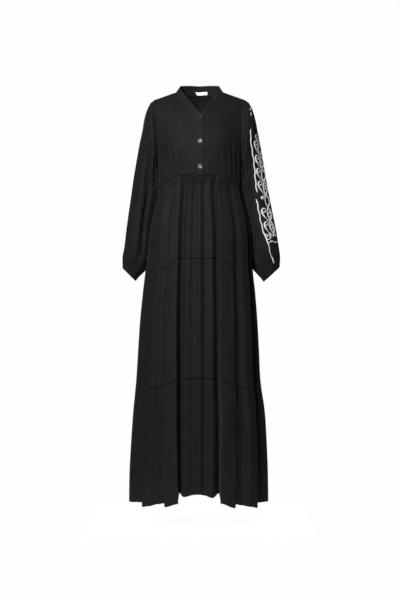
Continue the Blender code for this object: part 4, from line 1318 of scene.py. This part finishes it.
def sleeve_point(side, angle, down, out=0.0):
    """A point of the sleeve from the armhole, down 0, to the cuff, down 1, moved out of it."""
    degrees = math.degrees(angle) % 360.0
    t = down * SLEEVE_SPAN - 1.0
    share = min(max(t / SLEEVE_LAST, 0.0), 1.0)
    signed = degrees if degrees < 180.0 else degrees - 360.0
    inset = sleeve_fold_inset(degrees, share)
    inset += crease_depth(SLEEVE_CREASES + OWN_CREASES[side], signed, share * 100.0)
    above = (1.0 - down) * SLEEVE_LENGTH
    inset -= cuff_puff(degrees, above) + out
    if t <= 0.0:
        first = armhole_point(side, angle, SEAM_GAP + SEAM_STRAIGHT)
        point = first.lerp(sleeve_ring(side, 0.0, angle, inset * share), t + 1.0)
        return laid_on_body(point, angle) if t > -0.9 else point
    if t >= SLEEVE_LAST:
        end = cuff_point(side, angle, CUFF_LENGTH + SEAM_GAP, inset * 0.4)
        start = clear_of_body(sleeve_ring(side, SLEEVE_LAST, angle, inset))
        return start.lerp(end, t - SLEEVE_LAST)
    return laid_on_body(clear_of_body(sleeve_ring(side, t, angle, inset)), angle)


def make_sleeve(name, side, finish):
    """A full sleeve in one piece, from the armhole to the cuff."""
    down = SLEEVE_ROWS + 2

    def place(u, v):
        angle = 2.0 * math.pi * u
        row = v * down
        if row < 0.5:
            return armhole_point(side, angle, -ARMHOLE_TUCK)
        if row < 1.5:
            return armhole_point(side, angle, SEAM_GAP)
        return sleeve_point(side, angle, (row - 2.0) / SLEEVE_ROWS)

    middle = Vector((0.2 * side, 0.03, -0.3))
    make_sheet(name + "_cloth", name, (SLEEVE_COLUMNS_ROUND, down), (0.40, 0.58), place, middle,
               finish, tube=True)


def make_cuff(name, side):
    """The narrow gathered band that ends a sleeve."""
    def place(u, v):
        angle = 2.0 * math.pi * u
        out = cuff_puff(math.degrees(angle) % 360.0, 0.0) * PUFF_CUFF
        channel = CUFF_CHANNEL * (1.0 - ease(abs(v - CUFF_CHANNEL_MIDDLE) * 4.0))
        return cuff_point(side, angle, CUFF_LENGTH * (1.0 - v), channel - out)

    outer_x, outer_z, inner_x, inner_z = [value * MM for value in CUFF_MOUTHS[side]]
    middle = Vector(((outer_x + inner_x) / 2.0 * side, CUFF_BEHIND, (outer_z + inner_z) / 2.0))
    make_sheet(name + "_cloth", name, (SLEEVE_COLUMNS_ROUND, CUFF_ROWS), (0.22, 0.012), place, middle,
               (BAND_CREPE, "crepe_band"), wall=CUFF_THICKNESS, tube=True)


def make_sleeves():
    """Both sleeves with their cuffs."""
    make_sleeve("sleeve_right", -1, (CREPE, "crepe"))
    make_sleeve("sleeve_left", 1, (CREPE, "crepe_embroidered"))
    make_cuff("cuff_right", -1)
    make_cuff("cuff_left", 1)


# Buttons


def add_stitch(bm, middle, along, normal, length, width):
    """One stitch: a small long bead that lies on the cloth."""
    along = (along - normal * along.dot(normal)).normalized()
    side = normal.cross(along)
    made = bmesh.ops.create_uvsphere(bm, u_segments=6, v_segments=4, radius=0.5)
    turn = Matrix((side * width, normal * width, along * length)).transposed().to_4x4()
    bmesh.ops.transform(bm, matrix=Matrix.Translation(middle) @ turn, verts=made["verts"])


def drill_holes(button, turn):
    """Cuts the four thread holes through a button."""
    bm = bmesh.new()
    for x in (-HOLE_OFFSET, HOLE_OFFSET):
        for y in (-HOLE_OFFSET, HOLE_OFFSET):
            at = Matrix.Translation((x, y, 1.0 * MM))
            bmesh.ops.create_cone(bm, cap_ends=True, segments=16, radius1=HOLE_RADIUS,
                                  radius2=HOLE_RADIUS, depth=6.0 * MM, matrix=turn @ at)
    mesh = bpy.data.meshes.new("holes")
    bm.to_mesh(mesh)
    bm.free()
    cutter = bpy.data.objects.new("holes", mesh)
    bpy.context.scene.collection.objects.link(cutter)
    cut = button.modifiers.new("holes", "BOOLEAN")
    cut.operation = "DIFFERENCE"
    cut.object = cutter
    bpy.context.view_layer.update()
    finished = button.evaluated_get(bpy.context.evaluated_depsgraph_get())
    drilled = bpy.data.meshes.new_from_object(finished)
    button.modifiers.clear()
    button.data = drilled
    button.data.set_sharp_from_angle(angle=math.radians(40.0))
    bpy.data.objects.remove(cutter)


def add_thread_bars(name, turn):
    """Two bars of sewing thread between the holes of a button."""
    bm = bmesh.new()
    for x in (-THREAD_BAR_OFFSET, THREAD_BAR_OFFSET):
        bar = Matrix.Translation((x, 0.0, THREAD_BAR_HEIGHT)) @ Matrix.Rotation(math.pi / 2.0, 4, "X")
        made = bmesh.ops.create_uvsphere(bm, u_segments=12, v_segments=8, radius=1.0 * MM)
        shape = turn @ bar @ Matrix.Diagonal(THREAD_BAR_SHAPE)
        bmesh.ops.transform(bm, matrix=shape, verts=made["verts"])
    add_piece(name + "_thread", bm, THREAD, "button")


def make_button(number, height):
    """A round button with a raised rim, a dished middle and four holes."""
    bm = bmesh.new()
    verts = [bm.verts.new((x * MM, 0.0, z * MM)) for x, z in BUTTON_PROFILE]
    edges = [bm.edges.new(pair) for pair in zip(verts, verts[1:])]
    bmesh.ops.spin(bm, geom=verts + edges, cent=(0, 0, 0), axis=(0, 0, 1),
                   angle=2.0 * math.pi, steps=48, use_merge=True)
    bmesh.ops.remove_doubles(bm, verts=bm.verts, dist=0.01 * MM)
    bmesh.ops.recalc_face_normals(bm, faces=bm.faces)
    foot, normal = front_point(BUTTON_X, height, OVER_BAND_OUTSET + LAY_GAP)
    turn = Matrix.Translation(foot) @ normal.to_track_quat("Z", "Y").to_matrix().to_4x4()
    bmesh.ops.transform(bm, matrix=turn, verts=bm.verts)
    name = "button_" + str(number)
    # The top button lies in shadow, so it takes the shell with painted shade.
    shell = SHADED_SHELL if number == 1 else SHELL
    button = add_piece(name + "_shell", bm, shell, "button", (name,))
    drill_holes(button, turn)
    add_thread_bars(name, turn)


def make_buttonhole(number, height):
    """The worked buttonhole under a button: a long ring of close stitches along the band."""
    bm = bmesh.new()
    for k in range(BUTTONHOLE_STITCHES):
        turn = 2.0 * math.pi * k / BUTTONHOLE_STITCHES
        x = BUTTONHOLE_HALF_WIDTH * math.cos(turn)
        z = BUTTONHOLE_HALF_LENGTH * math.copysign(abs(math.sin(turn)) ** 0.6, math.sin(turn))
        foot, normal = front_point(BUTTON_X + x, height + z, OVER_BAND_OUTSET + 0.15 * MM)
        out = Vector((math.cos(turn), 0.0, math.sin(turn) * 0.5)).normalized()
        add_stitch(bm, foot, out, normal, 1.3 * MM, 0.42 * MM)
    add_piece("buttonhole_" + str(number), bm, THREAD, "crepe_band")


def make_buttons():
    """The buttons from the top down, each with its buttonhole."""
    for number, height in enumerate(BUTTON_HEIGHTS, start=1):
        make_button(number, height)
        make_buttonhole(number, height)


# Topstitching


def stitch_line(name, points, slot):
    """A row of stitches along points, each a place and the cloth's normal there."""
    bm = bmesh.new()
    walked = 0.0
    following = STITCH_PITCH
    for (start, normal), (end, _) in zip(points, points[1:]):
        span = (end - start).length
        while following <= walked + span:
            at = start.lerp(end, (following - walked) / span)
            add_stitch(bm, at, end - start, normal, STITCH_LENGTH, STITCH_WIDTH)
            following += STITCH_PITCH
        walked += span
    add_piece(name, bm, THREAD, slot)


def stitch_bands():
    """Sewing lines along both edges of both bands."""
    heights = [opening_height(k / 120.0) for k in range(2, 119)]
    for name, first, second, outset in PLACKET_BANDS:
        for edge, across in (("outer", 0.08), ("inner", 0.92)):
            points = [band_point(first, second, outset + STITCH_LIFT, across, z) for z in heights]
            stitch_line(name + "_stitches_" + edge, points, "crepe_band")


def stitch_collar():
    """Sewing lines along the foot and the top edge of the collar."""
    for edge, up in (("foot", 0.1), ("top", 0.9)):
        points = []
        for k in range(1, COLLAR_STITCH_STEPS):
            at = blend(-COLLAR_HALF, COLLAR_HALF, k / COLLAR_STITCH_STEPS)
            normal = collar_normal(at, up, 0.1)
            points.append((collar_point(at, up) + normal * STITCH_LIFT, normal))
        stitch_line("collar_stitches_" + edge, points, "crepe_band")


def stitch_hem():
    """A sewing line along the turned hem."""
    for centre, folds, creases, columns, _, _ in SKIRT_HALVES:
        _, place = tier_place(folds, creases, centre, 2, columns, [], [])
        points = []
        for k in range(4, HEM_STITCH_STEPS - 3):
            u = k / HEM_STITCH_STEPS
            at = place(u, HEM_STITCH_SHARE)
            across = place(u + 0.002, HEM_STITCH_SHARE) - place(u - 0.002, HEM_STITCH_SHARE)
            normal = across.cross(Vector((0.0, 0.0, 1.0))).normalized()
            normal = turned_towards(normal, Vector((at.x, at.y, 0.0)))
            points.append((at + normal * STITCH_LIFT, normal))
        stitch_line("hem_stitches_" + centre, points, "crepe")


# Embroidery


# A line of satin stitch: width in millimetres and height. Where it runs round the sleeve's
# edge it may be drawn out, by LINE_SPREAD at most, and a narrower one is given its full width.
LINE_WIDTH = 5.3
LINE_HEIGHT = 1.1 * MM
LINE_LEAST = 0.8
LINE_SPREAD = 2.1
# Its section: place across in half widths, and share of the height.
LINE_SECTION = ((-1.0, -0.2), (-0.72, 0.6), (0.0, 1.0), (0.72, 0.6), (1.0, -0.2))
LINE_SECTION_STEP = 1.5 * MM
BACKING_THICKNESS = 0.3 * MM
# Steps along a path, and how far and how often the borders sway, in millimetres.
PATH_STEP = 2.6
BORDER_WAVE = 1.1
BORDER_PITCH = 38.0

# The design as it shows from the front, in millimetres: place across and height. The shift
# moves all of it across.
DESIGN_SHIFT = -2.2
UPPER_BORDER = (
    (179.5, -113.0), (179.0, -146.0), (183.0, -178.0), (188.5, -208.0),
    (193.0, -245.0), (196.5, -290.0), (202.0, -332.0),
)
LOWER_BORDER = (
    (199.5, -354.0), (206.0, -385.0), (213.0, -420.0), (221.0, -455.0), (231.0, -484.0),
    (241.5, -509.0), (246.5, -532.0), (254.5, -553.0), (264.0, -579.0),
)
# Parts of the border that show at the shoulder.
TOP_FRAGMENTS = (((177.0, -38.0), (178.5, -48.0)), ((179.5, -54.0), (180.0, -66.0)))
# The middle line of the two stems that cross each other, the height of their first crossing,
# the length from one to the next, and their sway at the top and lower down.
MAIN_STEM = (
    (206.0, -142.0), (213.0, -182.0), (219.0, -217.0), (224.0, -250.0),
    (229.0, -287.0), (235.0, -329.0), (240.5, -362.0), (243.5, -383.0),
    (249.5, -413.0), (252.0, -432.0), (258.0, -455.0), (268.0, -485.0),
)
STEM_CROSSING = -199.5
STEM_PITCH = 45.4
STEM_SWAY = (4.6, 6.8)
SWAY_GROWTH = 150.0
# The line that closes the design above the cuff.
CROSS_LINE = (
    (243.0, -507.0), (251.0, -501.5), (257.0, -499.0),
    (262.0, -500.0), (269.0, -503.0), (277.0, -499.0),
)

# Heads of the running scroll: place, height, how far the tail runs out and down to the stem,
# and size. Below them the radii of a head where it starts and ends, and how far it turns.
SCROLLS = (
    (203.5, -133.0, 7.0, 18.0, 0.75),
    (201.5, -159.0, 17.0, 44.0, 1.0),
    (205.0, -209.0, 15.0, 36.0, 1.0),
    (209.0, -255.0, 19.0, 37.0, 1.0),
    (215.0, -299.5, 22.0, 42.0, 1.05),
    (227.0, -393.5, 24.0, 40.0, 1.05),
    (235.8, -440.0, 30.0, 44.0, 1.0),
)
HEAD_OUTER = 8.2
HEAD_INNER = 4.4
HEAD_TURN = math.radians(325.0)
# The scroll that closes the row: its middle, both radii, how much taller it is, where it
# starts and how far it turns.
LAST_SCROLL = (243.5, -483.5)
LAST_OUTER = 12.5
LAST_INNER = 4.0
LAST_STRETCH = 1.1
LAST_START = math.radians(140.0)
LAST_TURN = math.radians(430.0)

# Rings between the stems: place, height, half width and half height.
SMALL_RINGS = (
    (206.0, -143.0, 3.4, 6.0),
    (218.5, -222.0, 2.8, 6.0),
    (230.5, -312.0, 3.4, 7.0),
    (248.5, -407.0, 4.4, 9.0),
    (256.0, -449.0, 4.2, 8.0),
)
# The drop between the borders, and its stalk.
DROP = (221.5, -348.5)
DROP_SIZE = 3.6
DROP_STALK = (DROP, (228.0, -344.0), (235.0, -338.0))


def sleeve_place(x, z):
    """Ring number and angle of the left sleeve's front point that is seen at x, z, in millimetres.
    The ring is found by halving."""
    x = (x + DESIGN_SHIFT) * MM
    z *= MM
    low, high = 0.0, SLEEVE_LAST
    for _ in range(22):
        ring = (low + high) / 2.0
        outer_x, outer_z, inner_x, inner_z = ring_corners(1, ring)
        across = (2.0 * x - outer_x - inner_x) / (outer_x - inner_x)
        upwards = (2.0 * z - outer_z - inner_z) / (outer_z - inner_z)
        if across > upwards:
            low = ring
        else:
            high = ring
    return ring, math.acos(min(max(across, -1.0), 1.0))


def surface_place(ring, angle):
    """The left sleeve's point and outward normal at a ring and an angle."""
    ring = min(max(ring, -0.6), SLEEVE_LAST + 0.4)
    down = (ring + 1.0) / SLEEVE_SPAN
    point = sleeve_point(1, angle, down)
    across = sleeve_point(1, angle + 0.05, down) - sleeve_point(1, angle - 0.05, down)
    along = sleeve_point(1, angle, down + 0.006) - sleeve_point(1, angle, down - 0.006)
    held = min(max(ring, 0.0), SLEEVE_LAST)
    centre = sleeve_ring(1, held, 0.0, 0.0).lerp(sleeve_ring(1, held, math.pi, 0.0), 0.5)
    return point, turned_towards(across.cross(along).normalized(), point - centre)


def smooth_path(points):
    """Points at even steps along a smooth curve through a few places."""
    numbers = [float(i) for i in range(len(points))]
    length = sum((Vector(b) - Vector(a)).length for a, b in zip(points, points[1:]))
    count = max(int(length / PATH_STEP), 4)
    steps = [k / count * numbers[-1] for k in range(count + 1)]
    xs, zs = zip(*points)
    return [(curve_value(numbers, xs, at), curve_value(numbers, zs, at)) for at in steps]


def wavy_border(points):
    """A smooth path that sways from side to side."""
    turn = 2.0 * math.pi / BORDER_PITCH
    return [(x + BORDER_WAVE * math.sin(turn * z), z) for x, z in smooth_path(points)]


def scroll_curl(x, z, tail_out, tail_down, size):
    """One scroll: its tail comes up from the stem, runs round the head and curls in."""
    outer = HEAD_OUTER * size
    path = []
    for k in range(18):
        t = k / 18.0
        bend = 2.0 * t * (1.0 - t)
        out = (1.0 - t) ** 2 * tail_out - bend * (outer + 2.0) - t * t * outer
        down = (1.0 - t) ** 2 * tail_down + bend * tail_down * 0.38
        path.append((x + out, z - down))
    for k in range(24):
        share = k / 23.0
        turn = math.pi - HEAD_TURN * share
        radius = blend(outer, HEAD_INNER * size, share)
        path.append((x + radius * math.cos(turn), z + radius * math.sin(turn)))
    return path


def last_scroll():
    """The scroll that closes the row above the cross line and curls the other way."""
    path = []
    for k in range(34):
        turn = LAST_START + LAST_TURN * k / 33.0
        radius = blend(LAST_OUTER, LAST_INNER, k / 33.0)
        x = LAST_SCROLL[0] + radius * math.cos(turn)
        path.append((x, LAST_SCROLL[1] + radius * LAST_STRETCH * math.sin(turn)))
    return path


def ring_path(x, z, half_width, half_height):
    """A closed oval ring."""
    turns = [2.0 * math.pi * k / 20 for k in range(21)]
    return [(x + half_width * math.cos(turn), z + half_height * math.sin(turn)) for turn in turns]


def crossing_stem(hand):
    """One of two stems that sway to either side of their middle line and cross."""
    path = []
    for x, z in smooth_path(MAIN_STEM):
        sway = blend(STEM_SWAY[0], STEM_SWAY[1], ease((STEM_CROSSING - z) / SWAY_GROWTH))
        path.append((x + hand * sway * math.sin(math.pi * (z - STEM_CROSSING) / STEM_PITCH), z))
    return path


def seen_point(x, z, side):
    """The sleeve's point and normal seen at x, z, or the same place mirrored on its back."""
    ring, angle = sleeve_place(x, z)
    return surface_place(ring, angle * side)


def line_stations(path, side, width):
    """The middle, half width, normal and length so far at each step of a line. Its path is seen
    from the front, and it narrows at both ends."""
    last = len(path) - 1
    stations = []
    run = 0.0
    for k, (x, z) in enumerate(path):
        ahead = Vector(path[min(k + 1, last)]) - Vector(path[max(k - 1, 0)])
        half = width * (0.5 + 0.5 * ease(min(k, last - k) / 3.0)) / 2.0
        sideways = Vector((-ahead.y, ahead.x)).normalized() * half
        middle, normal = seen_point(x, z, side)
        near = seen_point(x + sideways.x, z + sideways.y, side)[0]
        far = seen_point(x - sideways.x, z - sideways.y, side)[0]
        across = (near - far) / 2.0
        across -= normal * across.dot(normal)
        most = half * MM * LINE_SPREAD
        if across.length > most:
            across *= most / across.length
        if across.length < half * MM * LINE_LEAST:
            across = across.normalized() * half * MM
        if stations:
            run += (middle - stations[-1][0]).length
        stations.append((middle, across, normal, run))
    return stations


def add_line(bm, uv, path, side, width):
    """A raised line of satin stitch, on the front, side 1, or the back, side -1, of the sleeve."""
    stations = line_stations(path, side, width)
    columns = len(LINE_SECTION) - 1
    rows = len(stations) - 1
    made = bmesh.ops.create_grid(bm, x_segments=columns, y_segments=rows, size=0.5)
    for vert in made["verts"]:
        j = round((vert.co.x + 0.5) * columns)
        middle, across, normal, run = stations[round((vert.co.y + 0.5) * rows)]
        out, up = LINE_SECTION[j]
        vert.co = middle + across * out + normal * up * LINE_HEIGHT
        for loop in vert.link_loops:
            loop[uv].uv = (run, j * LINE_SECTION_STEP)


def make_embroidery():
    """A running scroll and two crossing stems with rings, beside a wavy border. The front and
    the back of the sleeve mirror each other."""
    bm = bmesh.new()
    uv = bm.loops.layers.uv.verify()
    lines = [
        (wavy_border(UPPER_BORDER), LINE_WIDTH * 0.8),
        (wavy_border(LOWER_BORDER), LINE_WIDTH * 0.8),
        (crossing_stem(1.0), LINE_WIDTH * 0.85),
        (crossing_stem(-1.0), LINE_WIDTH * 0.85),
        (smooth_path(CROSS_LINE), LINE_WIDTH * 0.95),
        (last_scroll(), LINE_WIDTH),
        (ring_path(*DROP, DROP_SIZE, DROP_SIZE), LINE_WIDTH * 1.2),
        (smooth_path(DROP_STALK), LINE_WIDTH * 0.9),
    ]
    lines += [(smooth_path(points), LINE_WIDTH * 0.5) for points in TOP_FRAGMENTS]
    lines += [(scroll_curl(*row), LINE_WIDTH) for row in SCROLLS]
    lines += [(ring_path(*row), LINE_WIDTH * 0.85) for row in SMALL_RINGS]
    for side in (1, -1):
        for path, width in lines:
            add_line(bm, uv, path, side, width)
    bmesh.ops.recalc_face_normals(bm, faces=bm.faces)
    piece = add_piece("sleeve_left_embroidery", bm, FLOSS, "crepe_embroidered")
    piece.modifiers.new("backing", "SOLIDIFY").thickness = BACKING_THICKNESS


# Studio


FLOOR_Z = -1.47
FLOOR_HALF = 0.38
FLOOR_GLOW = 0.965
ROOM_LIGHT = 0.05
# Lights: name, place, the point they shine at, size and power.
STUDIO_LIGHTS = (
    ("key", (-0.85, -2.5, 0.6), (0.0, 0.0, -0.45), 0.7, 128.0),
    ("fill", (0.7, -3.6, 0.4), (0.0, 0.0, -0.5), 1.2, 10.0),
    ("back_left", (-1.0, 3.8, 0.9), (0.0, 0.0, -0.6), 1.4, 60.0),
    ("back_right", (1.0, 3.8, 0.9), (0.0, 0.0, -0.6), 1.4, 60.0),
)
# The camera looks level from the front. Its lens shows this height of the dress's middle plane.
CAMERA_PLACE = (0.0012, -4.5, -0.7043)
CAMERA_HEIGHT_SEEN = 2.0925
SENSOR_HEIGHT = 36.0


def make_floor():
    """A small pale floor under the hanging dress, which glows as softly as the room behind it."""
    bm = bmesh.new()
    bmesh.ops.create_grid(bm, x_segments=1, y_segments=1, size=FLOOR_HALF)
    bmesh.ops.translate(bm, vec=(0.0, 0.0, FLOOR_Z), verts=bm.verts)
    mesh = bpy.data.meshes.new("studio_floor")
    bm.to_mesh(mesh)
    bm.free()
    values = (("Base Color", linear("#3c3c3c")), ("Roughness", 0.95), ("Specular IOR Level", 0.1),
              ("Emission Color", linear("#fefefe")), ("Emission Strength", FLOOR_GLOW))
    material, _, _ = new_material("matt_white_paint", values)
    mesh.materials.append(material)
    floor = bpy.data.objects.new("studio_floor", mesh)
    bpy.context.scene.collection.objects.link(floor)


def make_room():
    """A white room to the camera, which lights the dress only faintly."""
    world = bpy.data.worlds.new("studio")
    world.use_nodes = True
    tree = world.node_tree
    seen = tree.nodes["Background"]
    seen.inputs["Color"].default_value = linear("#fefefe")
    seen.inputs["Strength"].default_value = 1.0
    lit = add_node(tree, "ShaderNodeBackground",
                   values=(("Color", linear("#ffffff")), ("Strength", ROOM_LIGHT)))
    path = add_node(tree, "ShaderNodeLightPath")
    both = add_node(tree, "ShaderNodeMixShader", links=(("Fac", path.outputs["Is Camera Ray"]),))
    tree.links.new(lit.outputs["Background"], both.inputs[1])
    tree.links.new(seen.outputs["Background"], both.inputs[2])
    tree.links.new(both.outputs["Shader"], tree.nodes["World Output"].inputs["Surface"])
    bpy.context.scene.world = world


def make_lights():
    """Soft round lights: the stronger one stands to the wearer's right and draws out the folds."""
    for name, place, at, size, power in STUDIO_LIGHTS:
        light = bpy.data.lights.new(name, "AREA")
        light.shape = "DISK"
        light.size = size
        light.energy = power
        lamp = bpy.data.objects.new(name, light)
        lamp.location = place
        lamp.rotation_euler = (Vector(at) - Vector(place)).to_track_quat("-Z", "Y").to_euler()
        bpy.context.scene.collection.objects.link(lamp)


def make_camera():
    """A level camera in front of the dress."""
    data = bpy.data.cameras.new("camera")
    data.sensor_fit = "VERTICAL"
    data.sensor_height = SENSOR_HEIGHT
    data.lens = SENSOR_HEIGHT * -CAMERA_PLACE[1] / CAMERA_HEIGHT_SEEN
    camera = bpy.data.objects.new("camera", data)
    camera.location = CAMERA_PLACE
    camera.rotation_euler = (math.pi / 2.0, 0.0, 0.0)
    bpy.context.scene.collection.objects.link(camera)
    bpy.context.scene.camera = camera
    bpy.context.scene.view_settings.view_transform = "Standard"


make_floor()
make_room()
make_lights()
make_camera()
make_skirt()
make_front("bodice_front_right", -1)
make_front("bodice_front_left", 1)
make_back()
for band in PLACKET_BANDS:
    make_band(*band)
make_collar()
make_label()
make_sleeves()
make_buttons()
stitch_bands()
stitch_collar()
stitch_hem()
make_embroidery()
